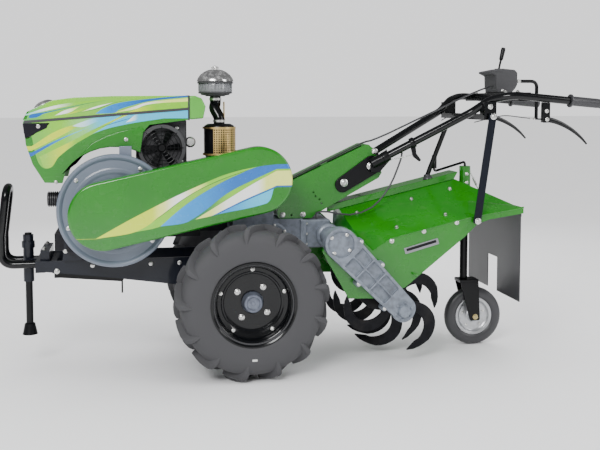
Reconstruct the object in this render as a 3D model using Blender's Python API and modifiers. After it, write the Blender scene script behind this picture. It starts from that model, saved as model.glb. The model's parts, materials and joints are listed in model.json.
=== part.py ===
"""Walking tractor: a two-wheel power tiller with a horizontal diesel engine and a rotary tiller.

Metres, +Z up, +X towards the operator, -Y the machine's left side, where the belt drive is.
The origin is on the ground under the middle of the machine. Places are given from the wheel
axle: x rearwards and z upwards from its centre line, so that the machine rises with its tyres.
"""

import math

import bmesh
import bpy
from mathutils import Matrix, Vector

# Overall sizes
FRONT_REACH = 1.030       # axle to the front of the bumper
REAR_REACH = 1.550        # axle to the ends of the grips
TYRE_RADIUS = 0.320
TYRE_WIDTH = 0.165
TRACK = 0.700             # between the middles of the two tyres
LEVER_TOP = 1.060         # top of the console lever above the axle
AXLE_X = (FRONT_REACH - REAR_REACH) / 2
AXLE_Z = TYRE_RADIUS

# Clearances
SEAT = 0.0003             # between pieces that touch
RUNNING = 0.0006          # round a shaft in its bearing
SHEET = 0.004             # tiller plates
PANEL = 0.0025            # bonnet and belt cover

# Wheels
WHEEL_STEPS = 24
BEAD_RADIUS = 0.156
RIM_FLANGE = 0.168
RIM_HALF = 0.072
TYRE_WALL = 0.018
DISC_HOLE = 0.045
HUB_CAP_RADIUS = 0.038
HUB_FLANGE_RADIUS = 0.070
AXLE_RADIUS = 0.022

# Gearbox
CASE_HALF = 0.100
CASE_TOP = 0.300
CASE_FRONT = -0.130
HOUSING_RADIUS = 0.055
HOUSING_END = 0.205
AXLE_INNER = 0.130
CLUTCH_X = 0.037
TYRE_TO_COVER = 0.014

# Front frame
RAIL_Y = 0.130
RAIL_THICK = 0.011
RAIL_TOP = 0.155
NOSE_X = -0.870
BUMPER_HALF = 0.060
BUMPER_TUBE = 0.017
STAND_X = -0.910
STAND_TUBE = 0.015
STAND_FOOT = -0.178       # underside of the raised foot
PROP_X = -0.784
PROP_Z = 0.086
PROP_LENGTH = 0.270

# Engine
CRANK_X = -0.545
CRANK_Z = TYRE_RADIUS + 0.050
ENGINE_LEFT = -0.2000
ENGINE_FRONT = -0.740
GUARD_RADIUS = 0.230
GUARD_FACE = -0.245
PULLEY_RADIUS = 0.058
CLUTCH_PULLEY_RADIUS = 0.110
BELT_THICK = 0.012
BELT_RIDE = 0.0010        # under the belts, so that their flats clear the round pulleys
COVER_RADIUS = 0.138
COVER_DEPTH = 0.075

# Bonnet
BONNET_HALF = 0.175
MUFFLER_X = -0.099
MUFFLER_Y = -0.030
MUFFLER_RADIUS = 0.070
CLEANER_X = -0.112

# Handlebars
ARM_HALF = 0.078
BAR_RADIUS = 0.017
BAR_SPREAD = 0.310
GRIP_RADIUS = 0.021
BRACKET_Y = 0.275         # outer faces of the crosspiece's brackets
BRIDGE_TOP = 0.852
CONSOLE_FRONT = 1.158

# Tiller
TILLER_HALF = 0.300
ROTOR_X = 0.640
ROTOR_Z = -0.065
TINE_RADIUS = 0.222
ROTOR_SHAFT = 0.027
DRIVE_X = 0.370
DRIVE_Z = 0.225
DRIVE_TUBE = 0.040

# Tail wheel
TAIL_X = 1.085
TAIL_RADIUS = 0.135
TAIL_RIM = 0.088
TAIL_WIDTH = 0.052
COLUMN_X = 1.040
COLUMN_RADIUS = 0.018
FORK_GAP = 0.008

# Colours: red, green, blue, roughness, metallic
PAINTS = {
    "green_paint": (0.026, 0.262, 0.013, 0.30, 0.0),
    "frame_paint": (0.018, 0.021, 0.030, 0.45, 0.0),
    "black_paint": (0.010, 0.010, 0.011, 0.35, 0.0),
    "casting_grey": (0.190, 0.235, 0.330, 0.50, 0.2),
    "iron_grey": (0.190, 0.235, 0.330, 0.50, 0.2),
    "pulley_iron": (0.090, 0.105, 0.140, 0.50, 0.3),
    "engine_casting": (0.015, 0.015, 0.016, 0.60, 0.1),
    "black_moulding": (0.012, 0.012, 0.013, 0.55, 0.0),
    "lamp_lens": (0.016, 0.016, 0.018, 0.15, 0.0),
    "tyre_rubber": (0.012, 0.012, 0.013, 0.85, 0.0),
    "black_rubber": (0.008, 0.008, 0.009, 0.60, 0.0),
    "bright_steel": (0.620, 0.620, 0.600, 0.25, 1.0),
    "cap_metal": (0.700, 0.700, 0.660, 0.30, 0.8),
    "cleaner_bowl": (0.220, 0.220, 0.225, 0.25, 0.0),
    "guard_gold": (0.480, 0.340, 0.110, 0.35, 0.9),
    "tine_steel": (0.014, 0.014, 0.016, 0.40, 0.3),
}


def clear_scene():
    """Removes whatever the file held before."""
    for obj in list(bpy.data.objects):
        bpy.data.objects.remove(obj, do_unlink=True)
    for collection in list(bpy.data.collections):
        bpy.data.collections.remove(collection)


def new_collection(name):
    """Adds a collection to the scene."""
    collection = bpy.data.collections.new(name)
    bpy.context.scene.collection.children.link(collection)
    return collection


def paint(obj, name, slot):
    """Gives an object its own material in one of the paints."""
    red, green, blue, roughness, metallic = PAINTS[slot]
    material = bpy.data.materials.new(name + "_" + slot)
    material.use_nodes = True
    shader = material.node_tree.nodes["Principled BSDF"]
    shader.inputs["Base Color"].default_value = (red, green, blue, 1.0)
    shader.inputs["Roughness"].default_value = roughness
    shader.inputs["Metallic"].default_value = metallic
    material.diffuse_color = (red, green, blue, 1.0)
    obj.data.materials.clear()
    obj.data.materials.append(material)


def at(x, y, z):
    """The place x behind and z above the wheel axle, at y across the machine."""
    return Vector((AXLE_X + x, y, AXLE_Z + z))


def link(name, data, place=(0.0, 0.0, 0.0)):
    """Adds an object to the machine at a place."""
    obj = bpy.data.objects.new(name, data)
    obj.location = place
    bpy.data.collections["walking_tractor"].objects.link(obj)
    return obj


def mesh_object(name, bm, place):
    """Turns a bmesh into an object and frees it."""
    bmesh.ops.recalc_face_normals(bm, faces=bm.faces)
    mesh = bpy.data.meshes.new(name)
    bm.to_mesh(mesh)
    bm.free()
    return link(name, mesh, place)


def box(name, low, high, bevel=0.0):
    """A block between two corners, given from the axle."""
    low, high = at(*low), at(*high)
    bm = bmesh.new()
    bmesh.ops.create_cube(bm, size=1.0)
    bmesh.ops.scale(bm, vec=high - low, verts=bm.verts)
    obj = mesh_object(name, bm, (low + high) / 2)
    if bevel:
        round_edges(obj, bevel)
    return obj


def round_edges(obj, width, segments=1, angle=40.0):
    """Chamfers or rounds the sharp edges."""
    bevel = obj.modifiers.new("edges", "BEVEL")
    bevel.width = width
    bevel.segments = segments
    bevel.limit_method = "ANGLE"
    bevel.angle_limit = math.radians(angle)


def turn_to(obj, direction):
    """Points the object's own Z along a direction."""
    obj.rotation_mode = "QUATERNION"
    obj.rotation_quaternion = Vector(direction).to_track_quat("Z", "Y")


def rod(name, start, end, radius, sides=16, far_radius=None):
    """A round bar or cone from one point to another, in the part's frame."""
    start, end = Vector(start), Vector(end)
    bm = bmesh.new()
    bmesh.ops.create_cone(
        bm,
        cap_ends=True,
        segments=sides,
        radius1=radius,
        radius2=radius if far_radius is None else far_radius,
        depth=(end - start).length,
    )
    obj = mesh_object(name, bm, (start + end) / 2)
    turn_to(obj, end - start)
    smooth(obj)
    return obj


def smooth(obj):
    """Shades round faces smooth and keeps the sharp edges."""
    obj.data.shade_smooth()
    obj.data.set_sharp_from_angle(angle=math.radians(35.0))


def turned(name, profile, place, direction, steps):
    """A turned solid: (radius, height) points, outer side first, round a direction."""
    bm = bmesh.new()
    points = [bm.verts.new((radius, 0.0, height)) for radius, height in profile]
    for first, second in zip(points, points[1:]):
        bm.edges.new((first, second))
    on_axis = profile[0][0] == 0.0 and profile[-1][0] == 0.0
    if not on_axis:
        bm.edges.new((points[-1], points[0]))
    mesh = bpy.data.meshes.new(name)
    bm.to_mesh(mesh)
    bm.free()
    obj = link(name, mesh, place)
    turn_to(obj, direction)
    screw = obj.modifiers.new("turn", "SCREW")
    screw.steps = steps
    screw.render_steps = steps
    screw.use_merge_vertices = True
    screw.merge_threshold = 0.00005
    screw.use_smooth_shade = True
    return obj


def outline(name, points, low, high):
    """A flat outline of (x, z) points from the axle, as thick as from y low to y high."""
    curve = bpy.data.curves.new(name, "CURVE")
    curve.dimensions = "2D"
    curve.fill_mode = "BOTH"
    curve.extrude = (high - low) / 2
    spline = curve.splines.new("POLY")
    spline.points.add(len(points) - 1)
    for point, (x, z) in zip(spline.points, points):
        point.co = (x, z, 0.0, 1.0)
    spline.use_cyclic_u = True
    obj = link(name, curve, at(0.0, (low + high) / 2, 0.0))
    obj.rotation_euler = (math.pi / 2, 0.0, 0.0)
    return as_mesh(obj)


def as_mesh(obj):
    """Turns a curve object into a mesh object with welded caps."""
    bpy.context.view_layer.update()
    graph = bpy.context.evaluated_depsgraph_get()
    mesh = bpy.data.meshes.new_from_object(obj.evaluated_get(graph))
    bm = bmesh.new()
    bm.from_mesh(mesh)
    bmesh.ops.remove_doubles(bm, verts=bm.verts, dist=0.00001)
    bmesh.ops.recalc_face_normals(bm, faces=bm.faces)
    bm.to_mesh(mesh)
    bm.free()
    name, place = obj.name, obj.matrix_world.copy()
    bpy.data.objects.remove(obj, do_unlink=True)
    solid = link(name, mesh)
    solid.matrix_world = place
    return solid


def tube(name, points, radius, detail=2):
    """A round tube or wire through points of the part's frame."""
    curve = bpy.data.curves.new(name, "CURVE")
    curve.dimensions = "3D"
    curve.bevel_depth = radius
    curve.bevel_resolution = detail
    curve.use_fill_caps = True
    spline = curve.splines.new("POLY")
    spline.points.add(len(points) - 1)
    for point, place in zip(spline.points, points):
        point.co = (*place, 1.0)
    return link(name, curve)


def bent(corners, radius, steps=4):
    """Points along straight runs joined by arcs of one radius at the inner corners."""
    corners = [Vector(corner) for corner in corners]
    points = [corners[0]]
    for before, corner, after in zip(corners, corners[1:], corners[2:]):
        back = (before - corner).normalized()
        ahead = (after - corner).normalized()
        half = back.angle(ahead) / 2
        reach = min(radius / math.tan(half), 0.45 * min((before - corner).length, (after - corner).length))
        turn = reach * math.tan(half)
        centre = corner + (back + ahead).normalized() * turn / math.sin(half)
        start = (corner + back * reach - centre).normalized()
        end = (corner + ahead * reach - centre).normalized()
        for step in range(steps + 1):
            points.append(centre + start.slerp(end, step / steps) * turn)
    return points + [corners[-1]]


def smooth_route(knots, spacing, straight=0.0):
    """Evenly stepped points on a smooth curve through hand-chosen knots, straight at both ends."""
    knots = [Vector(knot) for knot in knots]
    first, last = knots[0], knots[-1]
    if straight:
        knots[0] = first + (knots[1] - first).normalized() * straight
        knots[-1] = last + (knots[-2] - last).normalized() * straight
    ends = [2 * knots[0] - knots[1], *knots, 2 * knots[-1] - knots[-2]]
    points = []
    for a, b, c, d in zip(ends, ends[1:], ends[2:], ends[3:]):
        count = max(2, round((c - b).length / spacing))
        for step in range(count):
            t = step / count
            points.append(
                0.5 * (2 * b + (c - a) * t + (2 * a - 5 * b + 4 * c - d) * t**2 + (3 * b - a - 3 * c + d) * t**3)
            )
    points.append(knots[-1])
    return [first, *points, last] if straight else points


def arc(centre, radius, start, end, steps):
    """Points on an arc, in degrees from +x towards +z."""
    angles = [math.radians(start + (end - start) * step / steps) for step in range(steps + 1)]
    return [(centre[0] + radius * math.cos(angle), centre[1] + radius * math.sin(angle)) for angle in angles]


def belt_line(first, first_radius, second, second_radius, steps=12):
    """The outline of a band stretched round two circles."""
    along = math.degrees(math.atan2(second[1] - first[1], second[0] - first[0]))
    gap = math.dist(first, second)
    lean = math.degrees(math.acos((first_radius - second_radius) / gap))
    near = arc(first, first_radius, along + lean, along + 360 - lean, steps)
    far = arc(second, second_radius, along - lean, along + lean, steps)
    return near + far


def inset(points, wall):
    """The outline of (x, z) points moved inwards by a wall thickness."""
    corners = [Vector(point) for point in points]
    area = sum(a.cross(b) for a, b in zip(corners, corners[1:] + corners[:1]))
    side = 1.0 if area > 0 else -1.0
    moved = []
    for before, corner, after in zip(corners[-1:] + corners, corners, corners[1:] + corners[:1]):
        first = (corner - before).normalized().orthogonal() * side
        second = (after - corner).normalized().orthogonal() * side
        mitre = (first + second).normalized()
        moved.append(tuple(corner + mitre * (wall / mitre.dot(first))))
    return moved


def hinge_at(obj, place):
    """Moves an object's origin to its hinge, with the shape left where it is."""
    obj.data.transform(obj.matrix_world)
    obj.data.transform(Matrix.Translation(-Vector(place)))
    obj.matrix_world = Matrix.Translation(place)


def use_in_boolean(base, other, operation):
    """Adds a Boolean modifier, and sets the other object aside as its operand."""
    cutters = bpy.data.collections["cutters"]
    for collection in list(other.users_collection):
        collection.objects.unlink(other)
    cutters.objects.link(other)
    other.hide_render = True
    other.display_type = "WIRE"
    boolean = base.modifiers.new(operation.lower() + "_" + other.name, "BOOLEAN")
    boolean.operation = operation
    boolean.solver = "EXACT"
    boolean.object = other


def unite(base, *others):
    """Joins other solids to the base as one body."""
    for other in others:
        use_in_boolean(base, other, "UNION")
    return base


def cut(base, *cutters):
    """Cuts other solids out of the base."""
    for cutter in cutters:
        use_in_boolean(base, cutter, "DIFFERENCE")
    return base


# ---------------------------------------------------------------- wheels


def make_wheel(side, sign):
    """A drive wheel: tyre, pressed rim and the hub on its half of the axle."""
    centre = at(0.0, sign * TRACK / 2, 0.0)
    outward = (0.0, sign, 0.0)
    half = TYRE_WIDTH / 2
    bulge = BEAD_RADIUS + 0.54 * (TYRE_RADIUS - BEAD_RADIUS)
    shoulder = TYRE_RADIUS - 0.030
    crown = TYRE_RADIUS - TYRE_WALL - 0.004
    outer = [
        (BEAD_RADIUS, 0.70 * half),
        (BEAD_RADIUS + 0.034, 0.90 * half),
        (bulge, half),
        (shoulder, 0.95 * half),
        (TYRE_RADIUS, 0.68 * half),
    ]
    inner = [(crown, 0.48 * half), (bulge, half - TYRE_WALL), (BEAD_RADIUS, 0.70 * half - 0.012)]
    section = outer + [(r, -z) for r, z in reversed(outer)]
    section += [(r, -z) for r, z in reversed(inner)] + inner
    tyre = turned("tyre_" + side, section, centre, outward, WHEEL_STEPS)
    paint(tyre, tyre.name, "tyre_rubber")

    barrel = BEAD_RADIUS - SEAT
    flange = 0.0055
    disc_low, disc_high = 0.0040, 0.0100
    dish = 0.015
    section = [
        (RIM_FLANGE, RIM_HALF),
        (RIM_FLANGE, RIM_HALF - flange),
        (barrel, RIM_HALF - flange),
        (barrel, flange - RIM_HALF),
        (RIM_FLANGE, flange - RIM_HALF),
        (RIM_FLANGE, -RIM_HALF),
        (barrel - 0.006, -RIM_HALF),
        (barrel - 0.006, disc_low - dish),
        (0.090, disc_low),
        (DISC_HOLE, disc_low),
        (DISC_HOLE, disc_high),
        (0.090, disc_high),
        (barrel - 0.006, disc_high - dish),
        (barrel - 0.006, RIM_HALF),
    ]
    rim = turned("rim_" + side, section, centre, outward, WHEEL_STEPS)
    paint(rim, rim.name, "black_paint")

    seat = disc_low - SEAT
    shaft_end = AXLE_INNER + 0.004 - TRACK / 2
    profile = [
        (0.0, 0.046),
        (HUB_CAP_RADIUS - 0.005, 0.046),
        (HUB_CAP_RADIUS, 0.040),
        (HUB_CAP_RADIUS, seat),
        (HUB_FLANGE_RADIUS, seat),
        (HUB_FLANGE_RADIUS, seat - 0.014),
        (0.040, seat - 0.018),
        (0.040, -0.060),
        (AXLE_RADIUS, -0.065),
        (AXLE_RADIUS, shaft_end),
        (0.0, shaft_end),
    ]
    hub = turned("hub_" + side, profile, centre, outward, 16)
    paint(hub, hub.name, "pulley_iron")


def make_gearbox():
    """The main casting with its clutch housing and the two axle housings."""
    clutch_z = clutch_height()
    case = outline(
        "gearbox",
        [
            (CASE_FRONT, -0.060),
            (0.020, -0.115),
            (0.130, -0.090),
            (0.190, 0.020),
            (0.200, 0.150),
            (0.2600 - SEAT, 0.180),
            (0.2600 - SEAT, CASE_TOP),
            (-0.030, CASE_TOP),
            (CASE_FRONT, 0.170),
        ],
        -CASE_HALF,
        CASE_HALF,
    )
    neck = box("clutch_neck", (-0.050, -0.120, CASE_TOP - 0.050), (0.125, 0.080, clutch_z))
    bell = rod("clutch_bell", at(CLUTCH_X, -0.120, clutch_z), at(CLUTCH_X, 0.080, clutch_z), 0.0875, 24)
    housings = rod("axle_housings", at(0.0, -HOUSING_END, 0.0), at(0.0, HOUSING_END, 0.0), HOUSING_RADIUS, 24)
    unite(case, neck, bell, housings)
    for side, sign in (("left", -1), ("right", 1)):
        bore = rod(
            "axle_bore_" + side,
            at(0.0, sign * AXLE_INNER, 0.0),
            at(0.0, sign * (HOUSING_END + 0.010), 0.0),
            AXLE_RADIUS + RUNNING,
            16,
        )
        cut(case, bore)
    paint(case, case.name, "casting_grey")


def clutch_height():
    """Height of the clutch shaft above the axle, for a cover that clears the tyre."""
    return TYRE_RADIUS + TYRE_TO_COVER + COVER_RADIUS + 0.019


# ---------------------------------------------------------------- front frame


def make_front_frame():
    """Two tapered side rails with a nose, an engine crossmember and the gearbox flange."""
    side = [
        (NOSE_X + 0.040, 0.110),
        (-0.600, 0.083),
        (-0.343, 0.046),
        (CASE_FRONT - 0.013, 0.020),
        (CASE_FRONT - 0.013, RAIL_TOP),
        (NOSE_X + 0.040, RAIL_TOP),
    ]
    half = RAIL_THICK / 2
    frame = outline("front_frame", side, -RAIL_Y - half, -RAIL_Y + half)
    right = outline("rail_right", side, RAIL_Y - half, RAIL_Y + half)
    edge = RAIL_Y + half
    nose = box("nose", (NOSE_X, -edge, 0.108), (NOSE_X + 0.0402, edge, RAIL_TOP + 0.001))
    step = box("nose_step", (NOSE_X + 0.018, -0.110, RAIL_TOP - 0.010), (-0.815, 0.110, 0.195))
    cross = box("crossmember", (-0.480, -edge + 0.004, 0.095), (-0.420, edge - 0.004, 0.115))
    flange = box(
        "gearbox_flange",
        (CASE_FRONT - 0.014, -edge - 0.001, 0.010),
        (CASE_FRONT - SEAT, edge + 0.001, RAIL_TOP + 0.001),
    )
    lug = box("prop_lug", (PROP_X - 0.017, -0.0597, PROP_Z - 0.016), (PROP_X + 0.017, -0.050, 0.120))
    bar = box("prop_bar", (PROP_X - 0.018, 0.001 - edge, 0.104), (PROP_X + 0.018, edge - 0.001, 0.118))
    unite(frame, nose, right, step, cross, flange, bar, lug)
    paint(frame, frame.name, "frame_paint")


def make_bumper():
    """The looped tube that guards the front."""
    level = 0.132
    tip = BUMPER_TUBE - FRONT_REACH
    near = [
        at(NOSE_X - SEAT, -BUMPER_HALF, level),
        at(tip, -BUMPER_HALF, level),
        at(tip, -BUMPER_HALF, level + 0.120),
        at(tip + 0.026, -BUMPER_HALF, 0.452),
    ]
    loop = near + [Vector((place.x, -place.y, place.z)) for place in reversed(near)]
    bumper = tube("front_bumper", bent(loop, 0.055, 4), BUMPER_TUBE, 2)
    paint(bumper, bumper.name, "black_paint")


def make_front_stand():
    """The sliding parking stand and the sleeve on the nose that clamps it."""
    sleeve = rod("stand_sleeve", at(STAND_X, 0.0, 0.050), at(STAND_X, 0.0, 0.250), STAND_TUBE + 0.007, 16)
    collar = rod("stand_collar", at(STAND_X, 0.0, 0.195), at(STAND_X, 0.0, 0.222), STAND_TUBE + 0.012, 16)
    bracket = box("stand_bracket", (STAND_X + 0.005, -0.028, 0.118), (NOSE_X - SEAT, 0.028, 0.150))
    bore = rod("stand_bore", at(STAND_X, 0.0, 0.0), at(STAND_X, 0.0, 0.300), STAND_TUBE + RUNNING, 16)
    unite(sleeve, collar, bracket)
    cut(sleeve, bore)
    paint(sleeve, sleeve.name, "frame_paint")

    stand = rod("front_stand", at(STAND_X, 0.0, STAND_FOOT + 0.020), at(STAND_X, 0.0, 0.258), STAND_TUBE, 16)
    foot = rod("stand_foot", at(STAND_X, 0.0, STAND_FOOT), at(STAND_X, 0.0, STAND_FOOT + 0.045), 0.032, 16, 0.022)
    unite(stand, foot)
    paint(stand, stand.name, "black_paint")


def make_prop_leg():
    """The folding leg stowed under the frame, hinged on a lug below the nose."""
    end = PROP_X + PROP_LENGTH
    leg = outline(
        "prop_leg",
        belt_line((PROP_X, PROP_Z), 0.013, (end - 0.010, PROP_Z - 0.028), 0.010, 6),
        -0.070,
        -0.060,
    )
    hinge_at(leg, at(PROP_X, -0.065, PROP_Z))
    foot = box("prop_foot", (end - 0.010, -0.085, PROP_Z - 0.085), (end - 0.003, -0.045, PROP_Z - 0.020))
    unite(leg, foot)
    paint(leg, leg.name, "black_paint")


# ---------------------------------------------------------------- engine


def make_engine():
    """The engine as one plain mass: crankcase, cylinder, head and its mounting feet."""
    engine = box("engine_block", (ENGINE_FRONT, ENGINE_LEFT + SEAT, 0.190), (-0.410, 0.120, 0.440), 0.012)
    cylinder = box("cylinder", (-0.430, -0.110, 0.240), (-0.190, 0.100, 0.520))
    head = box("cylinder_head", (-0.195, -0.120, 0.262), (-0.075, 0.120, 0.540))
    feet = [
        box("engine_foot_" + str(number), (x, -0.150, RAIL_TOP + 0.001 + SEAT), (x + 0.090, 0.150, 0.210))
        for number, x in enumerate((-0.745, -0.520))
    ]
    front_foot = box("engine_nose", (-0.790, -0.150, 0.200), (ENGINE_FRONT + 0.001, 0.110, 0.270))
    stub = rod("pipe_stub", at(ENGINE_FRONT + 0.010, -0.060, 0.405), at(-0.822, -0.060, 0.405), 0.028, 16)
    unite(engine, cylinder, head, front_foot, stub, *feet)
    paint(engine, engine.name, "engine_casting")


def make_flywheel_guard():
    """The dished round guard over the flywheel, on the left of the crankcase."""
    back, rim = 0.0, ENGINE_LEFT - GUARD_FACE
    profile = [
        (0.0, rim - 0.008),
        (0.150, rim - 0.008),
        (0.165, rim),
        (GUARD_RADIUS - 0.014, rim),
        (GUARD_RADIUS, rim - 0.012),
        (GUARD_RADIUS, back + 0.006),
        (GUARD_RADIUS - SHEET, back + 0.006),
        (GUARD_RADIUS - SHEET, rim - 0.014),
        (0.165, rim - 0.005),
        (0.150, rim - 0.013),
        (0.060, rim - 0.013),
        (0.060, back),
        (0.0, back),
    ]
    guard = turned("flywheel_guard", profile, at(CRANK_X, ENGINE_LEFT, CRANK_Z), (0.0, -1.0, 0.0), 28)
    paint(guard, guard.name, "casting_grey")


def make_drive():
    """Both belt pulleys, the belts as one band, and the hollow cover over them."""
    clutch_z = clutch_height()
    crank, clutch = (CRANK_X, CRANK_Z), (CLUTCH_X, clutch_z)
    inner_face = GUARD_FACE - 0.006
    outer_face = inner_face - 0.052

    def pulley(name, centre, radius, shaft_start, shaft_radius):
        """A flat-sided pulley on its shaft."""
        groove = BELT_THICK * 0.5
        width = inner_face - outer_face
        profile = [
            (0.0, width),
            (radius, width),
            (radius, 0.0),
            (radius - groove, -0.0005),
            (shaft_radius, -0.0005),
            (shaft_radius, inner_face - shaft_start),
            (0.0, inner_face - shaft_start),
        ]
        wheel = turned(name, profile, at(centre[0], inner_face, centre[1]), (0.0, -1.0, 0.0), 20)
        paint(wheel, wheel.name, "pulley_iron")

    pulley("engine_pulley", crank, PULLEY_RADIUS, GUARD_FACE + 0.008 - SEAT, 0.024)
    pulley("clutch_pulley", clutch, CLUTCH_PULLEY_RADIUS, -0.120 - SEAT, 0.024)

    low, high = outer_face + 0.004, inner_face - 0.002
    ride, top = BELT_RIDE, BELT_RIDE + BELT_THICK
    belt = outline(
        "drive_belt",
        belt_line(crank, PULLEY_RADIUS + top, clutch, CLUTCH_PULLEY_RADIUS + top),
        low,
        high,
    )
    inside = outline(
        "belt_inside",
        belt_line(crank, PULLEY_RADIUS + ride, clutch, CLUTCH_PULLEY_RADIUS + ride, 20),
        low - 0.010,
        high + 0.010,
    )
    cut(belt, inside)
    paint(belt, belt.name, "black_rubber")

    back = GUARD_FACE - SEAT
    front = back - COVER_DEPTH
    left = (CRANK_X - 0.044, CRANK_Z - 0.013)
    cover = outline("belt_cover", belt_line(left, COVER_RADIUS, clutch, COVER_RADIUS, 18), front, back)
    round_edges(cover, 0.010, 2)
    hollow = outline(
        "cover_hollow",
        belt_line(left, COVER_RADIUS - PANEL, clutch, COVER_RADIUS - PANEL, 18),
        front + PANEL,
        back + 0.020,
    )
    cut(cover, hollow)
    paint(cover, cover.name, "green_paint")


# ---------------------------------------------------------------- bonnet and what it covers

SEAM_FRONT = (-0.892, 0.734)
SEAM_REAR = (-0.238, 0.786)


def make_bonnet():
    """The upper panel with its rear cap, and the lower panel that wraps round the front."""
    top = [
        SEAM_FRONT,
        (-0.904, 0.738),
        (-0.886, 0.772),
        (-0.785, 0.818),
        (-0.700, 0.829),
        (-0.550, 0.835),
        (-0.212, 0.837),
        (-0.184, 0.826),
        (-0.168, 0.792),
        (-0.178, 0.742),
        (-0.236, 0.738),
        SEAM_REAR,
    ]
    below = 0.700
    inner = [
        (SEAM_FRONT[0] + 4 * PANEL, SEAM_FRONT[1] - 0.010),
        *inset(top, PANEL)[2:10],
        (-0.182, below),
        (-0.300, below),
    ]
    panel = outline("bonnet_top", top, -BONNET_HALF, BONNET_HALF)
    round_edges(panel, 0.0045, 2, 60.0)
    hollow = outline("bonnet_hollow", inner, PANEL - BONNET_HALF, BONNET_HALF - PANEL)
    cut(panel, hollow)
    paint(panel, panel.name, "green_paint")

    seam_slope = (SEAM_REAR[1] - SEAM_FRONT[1]) / (SEAM_REAR[0] - SEAM_FRONT[0])
    arch = arc((CRANK_X, CRANK_Z + 0.015), GUARD_RADIUS + 0.012, 64, 143, 8)
    front = [
        (SEAM_FRONT[0] - 0.010, SEAM_FRONT[1] - 0.010 * seam_slope - SEAT),
        (-0.893, 0.640),
        (-0.868, 0.560),
        (-0.822, 0.484),
    ]
    lower = [
        *front,
        (-0.752, 0.481),
        *reversed(arch),
        (-0.425, 0.690),
        (-0.400, 0.717),
        (SEAM_REAR[0] - SEAT, 0.737),
        (SEAM_REAR[0] - SEAT, SEAM_REAR[1] - SEAT),
    ]
    skirt = outline("bonnet_lower", lower, -BONNET_HALF, BONNET_HALF)
    inner_front = [(x + 1.15 * PANEL, z) for x, z in front]
    inside = [
        (inner_front[0][0], SEAM_FRONT[1] + 0.100),
        *inner_front,
        (inner_front[-1][0], 0.400),
        (SEAM_REAR[0] + 0.100, 0.400),
        (SEAM_REAR[0] + 0.100, SEAM_FRONT[1] + 0.100),
    ]
    room = outline("skirt_room", inside, PANEL - BONNET_HALF, BONNET_HALF - PANEL)
    cut(skirt, room)
    lamp_cutter = outline("lamp_cutter", lamp_outline(SEAT), -BONNET_HALF - 0.010, BONNET_HALF + 0.010)
    cut(skirt, lamp_cutter)
    paint(skirt, skirt.name, "green_paint")

    lamp = outline("headlamp", lamp_outline(0.0), -BONNET_HALF - 0.001, BONNET_HALF + 0.001)
    paint(lamp, lamp.name, "lamp_lens")


def lamp_outline(grow):
    """The wedge that the lamp fills under the bonnet's nose."""
    return [
        (-0.905 - grow, 0.725 + grow),
        (-0.905 - grow, 0.700),
        (-0.893 - grow, 0.664 - grow),
        (-0.884 + grow, 0.664 - grow),
        (-0.800 + 2 * grow, 0.722),
        (-0.800 + 2 * grow, 0.7265 + grow),
    ]


def make_fuel_tank():
    """The tank that the bonnet covers, and its filler cap on the front slope."""
    half = BONNET_HALF - PANEL - SEAT
    tank = box("fuel_tank", (-0.745, -half, 0.7353), (-0.290, half, 0.795))
    paint(tank, tank.name, "black_moulding")
    slope = Vector((0.785 - 0.886, 0.0, 0.772 - 0.818)).normalized()
    upward = Vector((slope.z, 0.0, -slope.x)).normalized()
    seat = at(-0.8355, 0.0, 0.795) + upward * SEAT
    cap = rod("filler_cap", seat, seat + upward * 0.020, 0.042, 20, 0.036)
    paint(cap, cap.name, "cap_metal")


def make_radiator():
    """The radiator core with the fan cowl on its left."""
    core = box("radiator", (-0.455, -0.120, 0.520 + SEAT), (-0.245, 0.150, 0.7350), 0.004)
    cowl = rod("fan_cowl", at(-0.350, -0.166, 0.620), at(-0.350, -0.110, 0.620), 0.099, 28)
    eye = rod("fan_eye", at(-0.350, -0.180, 0.620), at(-0.350, -0.130, 0.620), 0.082, 28)
    unite(core, cowl)
    cut(core, eye)
    paint(core, core.name, "black_moulding")


def make_exhaust():
    """The muffler on the head, the bent pipe over it and the air pre-cleaner on top."""
    base = at(MUFFLER_X, MUFFLER_Y, 0.540 + SEAT)
    profile = [
        (0.0, 0.176),
        (0.052, 0.176),
        (MUFFLER_RADIUS, 0.164),
        (MUFFLER_RADIUS, 0.040),
        (0.052, 0.028),
        (0.030, 0.024),
        (0.030, 0.0),
        (0.0, 0.0),
    ]
    muffler = turned("muffler", profile, base, (0.0, 0.0, 1.0), 20)
    paint(muffler, muffler.name, "guard_gold")

    foot = base + Vector((0.0, 0.0, 0.176 + SEAT))
    top = at(CLEANER_X, 0.0, 0.835)
    knots = [
        foot,
        foot + Vector((0.0, 0.0, 0.025)),
        foot.lerp(top, 0.55) + Vector((-0.010, 0.0, 0.0)),
        top - Vector((0.0, 0.0, 0.030)),
        top,
    ]
    elbow = tube("intake_elbow", smooth_route(knots, 0.016, 0.010), 0.024, 3)
    paint(elbow, elbow.name, "black_paint")

    profile = [
        (0.0, 0.133),
        (0.009, 0.133),
        (0.009, 0.118),
        (0.030, 0.114),
        (0.062, 0.096),
        (0.079, 0.066),
        (0.079, 0.058),
        (0.072, 0.054),
        (0.076, 0.018),
        (0.060, 0.010),
        (0.040, 0.0),
        (0.0, 0.0),
    ]
    cleaner = turned("air_precleaner", profile, top + Vector((0.0, 0.0, SEAT)), (0.0, 0.0, 1.0), 20)
    paint(cleaner, cleaner.name, "cleaner_bowl")


# ---------------------------------------------------------------- handle


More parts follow.
